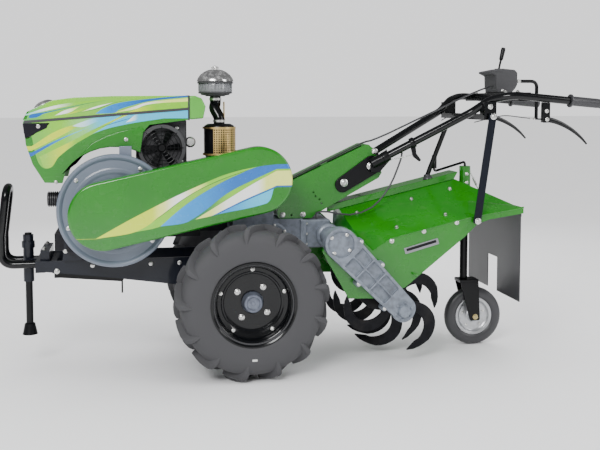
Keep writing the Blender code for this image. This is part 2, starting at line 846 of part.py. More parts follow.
def make_handle_arm():
    """The box-section arm bolted to the gearbox, open underneath."""
    foot = CASE_TOP + SEAT
    arm = outline(
        "handle_arm",
        [
            (0.160, foot),
            (0.300, foot),
            (0.318, foot + 0.016),
            (0.606, 0.474),
            (0.620, 0.496),
            (0.584, 0.600),
            (0.560, 0.622),
            (0.545, 0.622),
            (0.150, 0.438),
            (0.150, foot + 0.010),
        ],
        -ARM_HALF,
        ARM_HALF,
    )
    wall = 0.005
    inside = outline(
        "arm_inside",
        [
            (0.155, foot - 0.050),
            (0.330, foot - 0.050),
            (0.640, 0.460),
            (0.640, 0.490),
            (0.584 - wall, 0.595),
            (0.558, 0.616),
            (0.546, 0.616),
            (0.155, 0.434),
        ],
        wall - ARM_HALF,
        ARM_HALF - wall,
    )
    cut(arm, inside)
    paint(arm, arm.name, "green_paint")


def bar_route(sign):
    """The corners of one handlebar, from its socket to its grip."""
    return [
        at(0.640, sign * 0.1240, 0.578),
        at(0.990, sign * 0.2050, 0.767),
        at(1.055, sign * 0.2500, 0.820),
        at(1.130, sign * BAR_SPREAD, 0.840),
        at(1.395, sign * BAR_SPREAD, 0.816),
    ]


def under_bar(x):
    """Height of a handlebar's underside above the axle, at x on its straight rear run."""
    front, rear = bar_route(1)[-2:]
    slope = (rear.z - front.z) / (rear.x - front.x)
    middle = front.z + slope * (AXLE_X + x - front.x) - AXLE_Z
    return middle - BAR_RADIUS * math.hypot(1.0, slope)


def make_handlebars():
    """Both handlebars with their sockets on the arm and their grips."""
    for side, sign in (("left", -1), ("right", 1)):
        route = bar_route(sign)
        bar = tube("handlebar_" + side, bent(route, 0.120, 3), BAR_RADIUS, 3)
        paint(bar, bar.name, "black_paint")

        ahead = (route[1] - route[0]).normalized()
        socket_end = route[0] - ahead * SEAT
        faces = sorted((sign * (ARM_HALF + SEAT), sign * (ARM_HALF + SEAT + 0.008)))
        plate = outline(
            "handle_plate_" + side,
            belt_line((0.440, 0.446), 0.034, (0.575, 0.532), 0.042, 8),
            *faces,
        )
        socket = rod("socket_" + side, socket_end - ahead * 0.085, socket_end, BAR_RADIUS + 0.0065, 16)
        unite(plate, socket)
        paint(plate, plate.name, "black_paint")

        back = (route[-1] - route[-2]).normalized()
        start = route[-1] + back * SEAT
        reach = AXLE_X + REAR_REACH - GRIP_RADIUS * abs(back.z) - start.x
        end = start + back * (reach / back.x)
        grip = rod("grip_" + side, start, end, GRIP_RADIUS, 16)
        ring = rod("grip_ring_" + side, start, start + back * 0.007, GRIP_RADIUS + 0.008, 16)
        unite(grip, ring)
        paint(grip, grip.name, "black_rubber")


def saddled(name, low, high):
    """A block between two corners that saddles both handlebars."""
    block = box(name, low, high)
    for side, sign in (("left", -1), ("right", 1)):
        route = bent(bar_route(sign), 0.120, 3)
        saddle = as_mesh(tube(name + "_saddle_" + side, route, BAR_RADIUS + 0.0008, 3))
        cut(block, saddle)
    return block


def make_crossbar():
    """The low crosspiece hung from both handlebars, and the bridge that carries the console."""
    crossbar = saddled("handle_crossbar", (1.020, -BRACKET_Y, 0.733), (1.075, BRACKET_Y, 0.810))
    gap = box("crossbar_gap", (1.000, -0.222, 0.757), (1.100, 0.222, 0.900))
    cut(crossbar, gap)
    paint(crossbar, crossbar.name, "black_paint")

    bridge = saddled("console_bridge", (1.160, -BAR_SPREAD - 0.002, 0.815), (1.215, BAR_SPREAD + 0.002, BRIDGE_TOP))
    paint(bridge, bridge.name, "black_paint")


def make_console():
    """The control box on its bridge, its speed lever and the bent clutch rod."""
    base = BRIDGE_TOP + SEAT
    rear, roof = 1.262, 0.962
    console = outline(
        "console",
        [
            (1.165, base),
            (1.235, base),
            (1.255, 0.875),
            (rear, 0.890),
            (rear, 0.944),
            (1.248, 0.957),
            (1.190, roof),
            (1.128, 0.950),
            (1.128, 0.942),
            (1.156, 0.930),
            (CONSOLE_FRONT, 0.880),
        ],
        -0.070,
        0.070,
    )
    paint(console, console.name, "black_moulding")

    lever = rod("console_lever", at(1.200, 0.0, roof + 0.0005), at(1.211, 0.0, 1.010), 0.006, 12)
    knob = rod("lever_knob", at(1.209, 0.0, 0.998), at(1.222, 0.0, LEVER_TOP), 0.010, 12)
    unite(lever, knob)
    paint(lever, lever.name, "black_paint")

    height = 0.905
    corners = [
        at(rear + SEAT, -0.050, height),
        at(1.365, -0.050, height),
        at(1.365, -0.050, 0.735),
    ]
    loop = tube("clutch_rod", bent(corners, 0.030, 4), 0.008, 2)
    paint(loop, loop.name, "black_paint")


def make_hand_levers():
    """The two steering-clutch levers under the handlebars, each on its bracket."""
    for side, sign in (("left", -1), ("right", 1)):
        middle = sign * BAR_SPREAD
        lever = outline(
            "clutch_lever_" + side,
            [
                (1.270, 0.745),
                (1.282, 0.722),
                (1.350, 0.707),
                (1.418, 0.670),
                (1.476, 0.626),
                (1.484, 0.629),
                (1.430, 0.690),
                (1.362, 0.732),
                (1.302, 0.750),
            ],
            middle - 0.006,
            middle + 0.006,
        )
        front, rear = 1.270, 1.300
        tops = [(x, under_bar(x) - SEAT) for x in (rear, front)]
        bracket = outline(
            "lever_bracket_" + side,
            [(front, 0.735), (rear, 0.735), *tops],
            middle - 0.009,
            middle + 0.009,
        )
        unite(lever, bracket)
        paint(lever, lever.name, "black_paint")


def make_strut():
    """The flat stay from the tiller's side plate up to the crosspiece's left bracket."""
    stand_off = 0.014
    foot = at(0.977, -TILLER_HALF - SHEET - stand_off, 0.302)
    head = at(1.053, -BRACKET_Y - stand_off, 0.748)
    along = head - foot
    bm = bmesh.new()
    bmesh.ops.create_cube(bm, size=1.0)
    bmesh.ops.scale(bm, vec=(0.032, 0.007, along.length + 0.020), verts=bm.verts)
    strut = mesh_object("handle_strut", bm, (foot + head) / 2)
    up = along.normalized()
    across = Vector((1.0, 0.0, 0.0)) - up * up.x
    across.normalize()
    strut.matrix_world = Matrix.Translation((foot + head) / 2) @ Matrix(
        (across, up.cross(across), up)
    ).transposed().to_4x4()
    outer, inner = Vector((0.0, -0.008, 0.0)), Vector((0.0, stand_off - SEAT, 0.0))
    lower = rod("strut_foot", foot + outer, foot + inner, 0.014, 12)
    upper = rod("strut_head", head + outer, head + inner, 0.014, 12)
    unite(strut, lower, upper)
    paint(strut, strut.name, "frame_paint")


def make_shift_lever():
    """The tiller's gear lever, standing on the hood's ridge beside the arm."""
    slope = beam_slope()
    normal = Vector((-slope, 0.0, 1.0)).normalized()
    foot = at(0.850, -0.035, beam_top(0.850)) + normal * SEAT
    route = [foot, foot + normal * 0.012, at(0.854, -0.044, 0.505), at(0.905, -0.115, 0.700)]
    lever = tube("shift_lever", route, 0.011, 2)
    paint(lever, lever.name, "black_paint")


def make_cables():
    """The throttle cable and the two clutch cables, held at both ends."""
    routes = {
        "throttle_cable": [
            (CONSOLE_FRONT - SEAT, -0.030, 0.880),
            (1.140, -0.030, 0.880),
            (1.050, -0.030, 0.846),
            (0.930, -0.030, 0.792),
            (0.790, -0.030, 0.728),
            (0.660, -0.030, 0.668),
            (0.580, -0.030, 0.637),
            (0.540, -0.030, 0.6270),
            (0.400, -0.030, 0.5610),
            (0.260, -0.030, 0.4960),
            (0.190, -0.030, 0.4650),
            (0.150, -0.030, 0.4520),
            (0.1250 + SEAT, -0.030, 0.4520),
        ],
        "clutch_cable_left": [
            (0.700, -0.124, 0.588),
            (0.690, -0.130, 0.552),
            (0.640, -0.135, 0.440),
            (0.560, -0.140, 0.350),
            (0.460, -0.135, 0.318),
            (0.370, -0.105, 0.330),
            (0.322, -0.084, 0.325),
            (0.322, -0.084, 0.295 + SEAT),
        ],
        "clutch_cable_right": [
            (0.700, 0.124, 0.588),
            (0.690, 0.130, 0.556),
            (0.620, 0.135, 0.470),
            (0.520, 0.140, 0.390),
            (0.430, 0.130, 0.345),
            (0.360, 0.105, 0.338),
            (0.322, 0.084, 0.325),
            (0.322, 0.084, 0.295 + SEAT),
        ],
    }
    for name, knots in routes.items():
        cable = tube(name, smooth_route([at(*knot) for knot in knots], 0.045, 0.008), 0.004, 2)
        paint(cable, cable.name, "black_rubber")


# ---------------------------------------------------------------- tiller

RIDGE = ((0.430, 0.335), (0.970, 0.460))
REAR_EDGE = (1.198, 0.353)


def beam_slope():
    """How steeply the ridge rises towards the rear."""
    (x0, z0), (x1, z1) = RIDGE
    return (z1 - z0) / (x1 - x0)


def beam_top(x):
    """Height of the ridge beam's top at x."""
    return RIDGE[0][1] + beam_slope() * (x - RIDGE[0][0]) + 0.030


def make_drive_case():
    """The case behind the gearbox, with the tube that carries the drive across."""
    case = box("tiller_drive_case", (0.2600, -0.095, 0.172), (0.384, 0.095, 0.295), 0.006)
    cross = rod(
        "drive_tube",
        at(DRIVE_X, -TILLER_HALF - SHEET + SEAT, DRIVE_Z),
        at(DRIVE_X, TILLER_HALF - SEAT, DRIVE_Z),
        DRIVE_TUBE,
        20,
    )
    unite(case, cross)
    paint(case, case.name, "iron_grey")


def make_chain_case():
    """The side case that takes the drive down to the rotor."""
    back = -TILLER_HALF - SHEET - SEAT
    case = outline(
        "chain_case",
        belt_line((DRIVE_X, DRIVE_Z), 0.068, (ROTOR_X, ROTOR_Z + 0.010), 0.052, 12),
        back - 0.058,
        back,
    )
    round_edges(case, 0.006)
    boss = rod("case_boss", at(ROTOR_X, back - 0.070, ROTOR_Z), at(ROTOR_X, back - 0.010, ROTOR_Z), 0.045, 20)
    bore = rod(
        "case_bore",
        at(ROTOR_X, back - 0.034, ROTOR_Z),
        at(ROTOR_X, back + 0.010, ROTOR_Z),
        ROTOR_SHAFT + RUNNING,
        16,
    )
    unite(case, boss)
    cut(case, bore)
    paint(case, case.name, "iron_grey")


def side_outline():
    """The outline of a tiller side plate."""
    return [
        (0.300, 0.190),
        (0.415, -0.015),
        (0.560, -0.020),
        (0.665, 0.025),
        (0.930, 0.235),
        (0.985, 0.287),
        (1.040, 0.305),
        (1.195, 0.328),
        (1.195, 0.3545),
        (0.945, 0.315),
        (0.590, 0.233),
        (0.520, 0.185),
        (0.430, 0.270),
        (0.400, 0.290),
        (0.345, 0.290),
    ]


def make_side_plates():
    """Both side plates; the right one carries the rotor's plain bearing."""
    left = outline("tiller_side_left", side_outline(), -TILLER_HALF - SHEET, -TILLER_HALF)
    hole = rod(
        "tube_hole",
        at(DRIVE_X, -TILLER_HALF - 0.020, DRIVE_Z),
        at(DRIVE_X, -TILLER_HALF + 0.020, DRIVE_Z),
        DRIVE_TUBE + SEAT,
        20,
    )
    cut(left, hole)
    paint(left, left.name, "green_paint")

    right = outline("tiller_side_right", side_outline(), TILLER_HALF, TILLER_HALF + SHEET)
    arm = outline(
        "bearing_arm",
        belt_line((0.560, 0.060), 0.070, (ROTOR_X, ROTOR_Z), 0.050, 10),
        TILLER_HALF + 0.001,
        TILLER_HALF + 0.011,
    )
    boss = rod("bearing", at(ROTOR_X, TILLER_HALF + 0.002, ROTOR_Z), at(ROTOR_X, TILLER_HALF + 0.045, ROTOR_Z), 0.042, 20)
    bore = rod(
        "bearing_bore",
        at(ROTOR_X, TILLER_HALF - 0.010, ROTOR_Z),
        at(ROTOR_X, TILLER_HALF + 0.033, ROTOR_Z),
        ROTOR_SHAFT + RUNNING,
        16,
    )
    unite(right, arm, boss)
    cut(right, bore)
    paint(right, right.name, "green_paint")


def make_tiller_hood():
    """The folded sheet roof over the rotor, as a mirrored half with its thickness."""
    edge = TILLER_HALF - SEAT
    ridge = [(0.425, 0.055), (0.425, 0.180), RIDGE[0], (0.600, 0.374), RIDGE[1], REAR_EDGE]
    fold = [(0.425, 0.055), (0.430, 0.150), (0.462, 0.262), (0.600, 0.291), (0.985, 0.375), REAR_EDGE]
    eaves = [(0.425, 0.055), (0.450, 0.120), (0.520, 0.185), (0.590, 0.233), (0.945, 0.315), REAR_EDGE]
    lines = [(0.0, ridge), (0.060, ridge), (0.190, fold), (edge, eaves)]
    bm = bmesh.new()
    rows = [[bm.verts.new(at(x, y, z) - at(0.0, 0.0, 0.0)) for x, z in line] for y, line in lines]
    for row, next_row in zip(rows, rows[1:]):
        for number in range(len(row) - 1):
            bm.faces.new((row[number], row[number + 1], next_row[number + 1], next_row[number]))
    bmesh.ops.recalc_face_normals(bm, faces=bm.faces)
    if sum(face.normal.z for face in bm.faces) < 0:
        bmesh.ops.reverse_faces(bm, faces=bm.faces)
    mesh = bpy.data.meshes.new("tiller_hood")
    bm.to_mesh(mesh)
    bm.free()
    hood = link("tiller_hood", mesh, at(0.0, 0.0, 0.0))
    mirror = hood.modifiers.new("halves", "MIRROR")
    mirror.use_axis = (False, True, False)
    mirror.merge_threshold = 0.0001
    shell = hood.modifiers.new("sheet", "SOLIDIFY")
    shell.thickness = SHEET
    shell.offset = -1.0
    hole = rod("sleeve_hole", at(COLUMN_X, 0.0, 0.330), at(COLUMN_X, 0.0, 0.520), COLUMN_RADIUS + 0.008 + SEAT, 20)
    cut(hood, hole)
    paint(hood, hood.name, "green_paint")


def make_ridge_beam():
    """The folded beam along the ridge of the hood."""
    (x0, z0), (x1, z1) = RIDGE
    slope = (z1 - z0) / (x1 - x0)
    front, rear = 0.375, 0.985
    low = [(x, z0 + slope * (x - x0) + 2 * SEAT) for x in (front, x1 - 0.004)]
    beam = outline(
        "ridge_beam",
        [low[0], low[1], (rear, beam_top(rear)), (front, beam_top(front))],
        -0.058,
        0.058,
    )
    inside = outline(
        "beam_inside",
        [
            (front - 0.010, low[0][1] - 0.012),
            (rear - 0.030, z0 + slope * (rear - 0.030 - x0) - 0.010),
            (rear - 0.030, beam_top(rear - 0.030) - SHEET),
            (front - 0.010, beam_top(front - 0.010) - SHEET),
        ],
        SHEET - 0.058,
        0.058 - SHEET,
    )
    cut(beam, inside)
    paint(beam, beam.name, "green_paint")


def make_flap():
    """The rubber flap behind the rotor, notched over the tail wheel."""
    top = REAR_EDGE[1] - SHEET - 0.006
    half, notch = TILLER_HALF - SEAT, 0.055
    bottom, notch_top = -0.062, 0.095
    bm = bmesh.new()
    bmesh.ops.create_cube(bm, size=1.0)
    bmesh.ops.scale(bm, vec=(0.005, 2 * half, top - bottom), verts=bm.verts)
    flap = mesh_object("rear_flap", bm, at(1.184, 0.0, (top + bottom) / 2))
    gap = box("flap_notch", (1.160, -notch, bottom - 0.020), (1.210, notch, notch_top))
    cut(flap, gap)
    paint(flap, flap.name, "black_rubber")


def tine_outline(angle):
    """The side view of one blade, which sweeps back from the shaft to its tip."""
    steps = 6
    leading, trailing = [], []
    for step in range(steps + 1):
        t = step / steps
        radius = 0.012 + (TINE_RADIUS - 0.012) * t
        sweep = angle - math.radians(52.0) * t**1.8
        half = (0.019 + 0.008 * math.sin(math.pi * t)) * (1.0 - t**3) + 0.001
        lead = half / max(radius, 0.03)
        reach = min(radius, TINE_RADIUS - 0.001)
        leading.append((reach, sweep + lead))
        trailing.append((reach, sweep - lead))
    polar = leading + trailing[::-1]
    return [(ROTOR_X + r * math.cos(a), ROTOR_Z + r * math.sin(a)) for r, a in polar]


def make_rotor():
    """The rotor: a shaft with eight holders, each with two opposite blades."""
    left_end, right_end = -TILLER_HALF - 0.033, TILLER_HALF + 0.028
    rotor = rod("rotor", at(ROTOR_X, left_end, ROTOR_Z), at(ROTOR_X, right_end, ROTOR_Z), ROTOR_SHAFT, 16)
    stations = 8
    spacing = 0.24 * TILLER_HALF
    for number in range(stations):
        y = (number - (stations - 1) / 2) * spacing
        for flip in (0.0, math.pi):
            angle = math.radians(62.0) * number + flip
            label = str(number) + ("a" if flip else "b")
            blade = outline("tine_" + label, tine_outline(angle), y - 0.005, y + 0.005)
            unite(rotor, blade)
    paint(rotor, rotor.name, "tine_steel")


# ---------------------------------------------------------------- tail wheel


def make_tail_wheel():
    """The tail wheel on its sliding column, the fixed sleeve and the crank on top."""
    axle_z = TAIL_RADIUS - AXLE_Z
    sleeve_radius = COLUMN_RADIUS + 0.008
    sleeve_top = 0.515
    sleeve = rod("tail_sleeve", at(COLUMN_X, 0.0, 0.270), at(COLUMN_X, 0.0, sleeve_top), sleeve_radius, 20)
    bore = rod("tail_bore", at(COLUMN_X, 0.0, 0.250), at(COLUMN_X, 0.0, sleeve_top - 0.006), COLUMN_RADIUS + RUNNING, 20)
    cut(sleeve, bore)
    paint(sleeve, sleeve.name, "green_paint")

    crown = axle_z + TAIL_RADIUS + 0.030
    half = TAIL_WIDTH / 2 + FORK_GAP
    column = rod("tail_leg", at(COLUMN_X, 0.0, crown), at(COLUMN_X, 0.0, 0.385), COLUMN_RADIUS, 20)
    bridge = box("fork_crown", (1.012, -half - 0.006, crown - 0.004), (1.100, half + 0.006, crown + 0.010))
    unite(column, bridge)
    for side, sign in (("left", -1), ("right", 1)):
        faces = sorted((sign * half, sign * (half + 0.006)))
        blade = outline(
            "fork_" + side,
            [(1.012, crown), (1.100, crown), (TAIL_X + 0.018, axle_z - 0.018), (TAIL_X - 0.018, axle_z - 0.018)],
            *faces,
        )
        unite(column, blade)
    pin = rod("tail_pin", at(TAIL_X, -half - 0.014, axle_z), at(TAIL_X, half + 0.014, axle_z), 0.008, 16)
    unite(column, pin)
    paint(column, column.name, "black_paint")

    rim_half = TAIL_WIDTH / 2 - 0.008
    hub_half = TAIL_WIDTH / 2 + 0.003
    rim_seat = TAIL_RIM - SEAT
    section = [
        (0.024, hub_half),
        (0.024, 0.004),
        (rim_seat - 0.008, 0.004),
        (rim_seat - 0.008, rim_half),
        (rim_seat, rim_half),
        (rim_seat, -rim_half),
        (rim_seat - 0.008, -rim_half),
        (rim_seat - 0.008, -0.004),
        (0.024, -0.004),
        (0.024, -hub_half),
        (0.008 + RUNNING, -hub_half),
        (0.008 + RUNNING, hub_half),
    ]
    centre = at(TAIL_X, 0.0, axle_z)
    rim = turned("tail_rim", section, centre, (0.0, -1.0, 0.0), 20)
    paint(rim, rim.name, "bright_steel")
    tread = TAIL_WIDTH / 2
    section = [
        (TAIL_RIM, tread - 0.006),
        (TAIL_RIM + 0.012, tread),
        (TAIL_RADIUS - 0.014, tread),
        (TAIL_RADIUS, 0.5 * tread),
        (TAIL_RADIUS, -0.5 * tread),
        (TAIL_RADIUS - 0.014, -tread),
        (TAIL_RIM + 0.012, -tread),
        (TAIL_RIM, 0.006 - tread),
    ]
    tyre = turned("tail_tyre", section, centre, (0.0, -1.0, 0.0), 20)
    paint(tyre, tyre.name, "tyre_rubber")

    top = sleeve_top + SEAT
    corners = [
        at(COLUMN_X, 0.0, top),
        at(COLUMN_X, 0.0, top + 0.020),
        at(0.888, -0.010, top - 0.022),
        at(0.888, -0.010, top + 0.015),
    ]
    crank = as_mesh(tube("tail_crank", bent(corners, 0.008, 2), 0.006, 2))
    knob = rod("crank_knob", at(0.888, -0.010, top - 0.008), at(0.888, -0.010, top + 0.052), 0.012, 12)
    unite(crank, knob)
    paint(crank, crank.name, "black_paint")


def build():
    """Builds the whole machine."""
    clear_scene()
    new_collection("walking_tractor")
    cutters = new_collection("cutters")
    cutters.hide_render = True
    for side, sign in (("left", -1), ("right", 1)):
        make_wheel(side, sign)
    make_gearbox()
    make_front_frame()
    make_bumper()
    make_front_stand()
    make_prop_leg()
    make_engine()
    make_flywheel_guard()
    make_drive()
    make_bonnet()
    make_fuel_tank()
    make_radiator()
    make_exhaust()
    make_handle_arm()
    make_handlebars()
    make_crossbar()
    make_console()
    make_hand_levers()
    make_strut()
    make_shift_lever()
    make_cables()
    make_drive_case()
    make_chain_case()
    make_side_plates()
    make_tiller_hood()
    make_ridge_beam()
    make_flap()
    make_rotor()
    make_tail_wheel()


build()
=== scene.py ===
"""Walking tractor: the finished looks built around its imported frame.

Metres, +Z up, +X towards the operator, -Y the machine's left side, where the belt drive is.
Places are given from the wheel axle, x rearwards and z upwards, as the machine's own sizes are.
Every sub-assembly is a class: its sizes are its fields, and build() makes its pieces, dresses
them and hangs each on the body that it moves with.
"""

from __future__ import annotations

import json
import logging
import math
from collections.abc import Iterable, Sequence
from dataclasses import dataclass
from enum import Enum

import bmesh
import bpy
from mathutils import Matrix, Vector
from mathutils.bvhtree import BVHTree

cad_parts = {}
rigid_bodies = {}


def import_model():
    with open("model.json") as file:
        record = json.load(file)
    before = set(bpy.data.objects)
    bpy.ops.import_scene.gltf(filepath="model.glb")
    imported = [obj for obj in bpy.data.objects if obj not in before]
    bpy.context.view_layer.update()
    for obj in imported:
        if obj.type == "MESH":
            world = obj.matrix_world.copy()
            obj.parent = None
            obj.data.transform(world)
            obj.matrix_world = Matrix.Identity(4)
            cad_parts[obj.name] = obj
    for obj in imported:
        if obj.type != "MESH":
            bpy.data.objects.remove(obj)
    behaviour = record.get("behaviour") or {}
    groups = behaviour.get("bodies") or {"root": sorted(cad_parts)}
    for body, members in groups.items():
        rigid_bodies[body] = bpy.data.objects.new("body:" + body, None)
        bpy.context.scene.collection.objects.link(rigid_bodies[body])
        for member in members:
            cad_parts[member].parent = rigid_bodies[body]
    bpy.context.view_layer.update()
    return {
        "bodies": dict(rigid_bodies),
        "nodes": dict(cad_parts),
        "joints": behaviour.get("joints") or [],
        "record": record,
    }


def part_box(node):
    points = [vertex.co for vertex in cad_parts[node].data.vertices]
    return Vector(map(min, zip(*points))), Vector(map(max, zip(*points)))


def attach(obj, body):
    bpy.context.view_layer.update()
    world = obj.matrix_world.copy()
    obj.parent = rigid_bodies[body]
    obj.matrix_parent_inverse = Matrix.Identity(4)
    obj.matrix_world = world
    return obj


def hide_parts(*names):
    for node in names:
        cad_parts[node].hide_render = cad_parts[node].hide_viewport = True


LOG = logging.getLogger("walking_tractor")
# The gap that keeps a face off the one it lies on, and a length that counts as none.
SEAT = 0.0003
TINY = 1e-6
# How far from the middle the sides of the bonnet begin, where its print and its painted highlight are drawn.
SIDES_DRAWN_FROM = 0.169
Colour = tuple[float, float, float]
Place = Vector | Sequence[float]


# ---------------------------------------------------------------- shader sums


class Value:
    """A number that a shader works out, for use in Python sums."""

    def __init__(self, nodes: Nodes, socket: bpy.types.NodeSocket) -> None:
        """Wraps a node's output socket."""
        self.nodes = nodes
        self.socket = socket

    def __add__(self, other: Value | float) -> Value:
        """Sum."""
        return self.nodes.math("ADD", self, other)

    def __sub__(self, other: Value | float) -> Value:
        """Difference."""
        return self.nodes.math("SUBTRACT", self, other)

    def __rsub__(self, other: Value | float) -> Value:
        """Difference, the other way round."""
        return self.nodes.math("SUBTRACT", other, self)

    def __mul__(self, other: Value | float) -> Value:
        """Product."""
        return self.nodes.math("MULTIPLY", self, other)

    def __truediv__(self, other: Value | float) -> Value:
        """Quotient."""
        return self.nodes.math("DIVIDE", self, other)

    def __rtruediv__(self, other: Value | float) -> Value:
        """Quotient, the other way round."""
        return self.nodes.math("DIVIDE", other, self)

    __radd__ = __add__
    __rmul__ = __mul__

    def clamped(self) -> Value:
        """The value held between 0 and 1."""
        return self.nodes.math("ADD", self, 0.0, clamp=True)

    def least(self, other: Value | float) -> Value:
        """The smaller of two values."""
        return self.nodes.math("MINIMUM", self, other)


class Nodes:
    """A material's node tree, written with one method for nodes and Python sums for numbers."""

    def __init__(self, name: str) -> None:
        """Starts an empty material.

        Args:
            name: The material's name.
        """
        self.material = bpy.data.materials.new(name)
        self.material.use_nodes = True
        self.tree = self.material.node_tree
        self.tree.nodes.clear()
        self.place = self.node("ShaderNodeTexCoord").outputs["Object"]

    def node(self, kind: str, settings: dict | None = None, inputs: dict | None = None) -> bpy.types.Node:
        """Adds a node.

        Args:
            kind: The node's type.
            settings: Its properties, set first.
            inputs: Its inputs by name or number: constants, sockets or values.

        Returns:
            The node.
        """
        node = self.tree.nodes.new(kind)
        for key, value in (settings or {}).items():
            setattr(node, key, value)
        for key, value in (inputs or {}).items():
            if isinstance(value, Value):
                value = value.socket
            if isinstance(value, bpy.types.NodeSocket):
                self.tree.links.new(value, node.inputs[key])
            else:
                node.inputs[key].default_value = value
        return node

    def math(self, operation: str, first: Value | float, second: Value | float, clamp: bool = False) -> Value:
        """One sum of two values."""
        settings = {"operation": operation, "use_clamp": clamp}
        return Value(self, self.node("ShaderNodeMath", settings, {0: first, 1: second}).outputs[0])

    def axes(self) -> list[Value]:
        """The x, y and z of the place that is shaded."""
        split = self.node("ShaderNodeSeparateXYZ", inputs={0: self.place})
        return [Value(self, output) for output in split.outputs]

    def noise(self, scale: float, detail: float = 3.0, stretch: Colour = (1.0, 1.0, 1.0)) -> Value:
        """Cloudy noise from 0 to 1.

        Args:
            scale: How fine it is, per metre.
            detail: How many finer layers it has.
            stretch: The scale of each axis.

        Returns:
            The noise.
        """
        place = self.place
        if stretch != (1.0, 1.0, 1.0):
            place = self.node("ShaderNodeMapping", inputs={"Vector": place, "Scale": stretch}).outputs[0]
        inputs = {"Vector": place, "Scale": scale, "Detail": detail}
        return Value(self, self.node("ShaderNodeTexNoise", inputs=inputs).outputs[0])

    def ramp(self, value: Value, low: float, high: float, start: float = 0.0, end: float = 1.0) -> Value:
        """A smooth step of a value between two limits.

        Args:
            value: The value.
            low: Where the step starts.
            high: Where it ends.
            start: What it gives below.
            end: What it gives above.

        Returns:
            The stepped value.
        """
        inputs = {"Value": value, "From Min": low, "From Max": high, "To Min": start, "To Max": end}
        settings = {"interpolation_type": "SMOOTHSTEP"}
        return Value(self, self.node("ShaderNodeMapRange", settings, inputs).outputs[0])

    def mix(self, factor: Value | float, first: object, second: object) -> bpy.types.NodeSocket:
        """A colour between two colours.

        Args:
            factor: How much of the second colour shows.
            first: A colour or a socket.
            second: The other.

        Returns:
            The socket of the mixed colour.
        """
        shown = [(*colour, 1.0) if isinstance(colour, tuple) else colour for colour in (first, second)]
        node = self.node("ShaderNodeMix", {"data_type": "RGBA"}, {0: factor, 6: shown[0], 7: shown[1]})
        return node.outputs[2]

    def curve(self, value: Value, points: Sequence[tuple[float, float]]) -> Value:
        """A value read off a smooth curve.

        Args:
            value: Where it is read, from 0 to 1.
            points: The curve's points, each across and up from 0 to 1.

        Returns:
            The value that the curve gives.
        """
        node = self.node("ShaderNodeFloatCurve", inputs={"Value": value})
        line = node.mapping.curves[0]
        while len(line.points) < len(points):
            line.points.new(0.5, 0.5)
        for point, (across, up) in zip(line.points, points):
            point.location = (across, up)
            point.handle_type = "AUTO_CLAMPED"
        node.mapping.update()
        return Value(self, node.outputs[0])

    def bump(self, height: Value, depth: float, strength: float = 1.0) -> bpy.types.NodeSocket:
        """A relief of that depth in metres."""
        inputs = {"Height": height, "Distance": depth, "Strength": strength}
        return self.node("ShaderNodeBump", inputs=inputs).outputs[0]

    def surface(self, inputs: dict) -> bpy.types.Material:
        """Ends the material with a principled surface.

        Args:
            inputs: The surface's inputs by name.

        Returns:
            The material.
        """
        shown = dict(inputs)
        for key, value in inputs.items():
            if isinstance(value, tuple) and len(value) == 3:
                shown[key] = (*value, 1.0)
        shader = self.node("ShaderNodeBsdfPrincipled", inputs=shown)
        self.node("ShaderNodeOutputMaterial", inputs={"Surface": shader.outputs[0]})
        return self.material


# ---------------------------------------------------------------- finishes


@dataclass(frozen=True)
class Finish:
    """A finish: its name, the record's slot it stands for and its sizes."""

    name: str
    slot: str
    colour: Colour
    roughness: float = 0.4

    def sheen(self) -> float:
        """How strongly it mirrors: a black one does so least."""
        return 0.16 if max(self.colour) < 0.03 else 0.4

    def build(self) -> bpy.types.Material:
        """Makes the material."""
        raise NotImplementedError


@dataclass(frozen=True)
class Streak:
    """A coloured streak between two edges of (x, z) points, coloured along x."""

    top: Sequence[tuple[float, float]]
    bottom: Sequence[tuple[float, float]]
    colours: Sequence[tuple[float, Colour]]


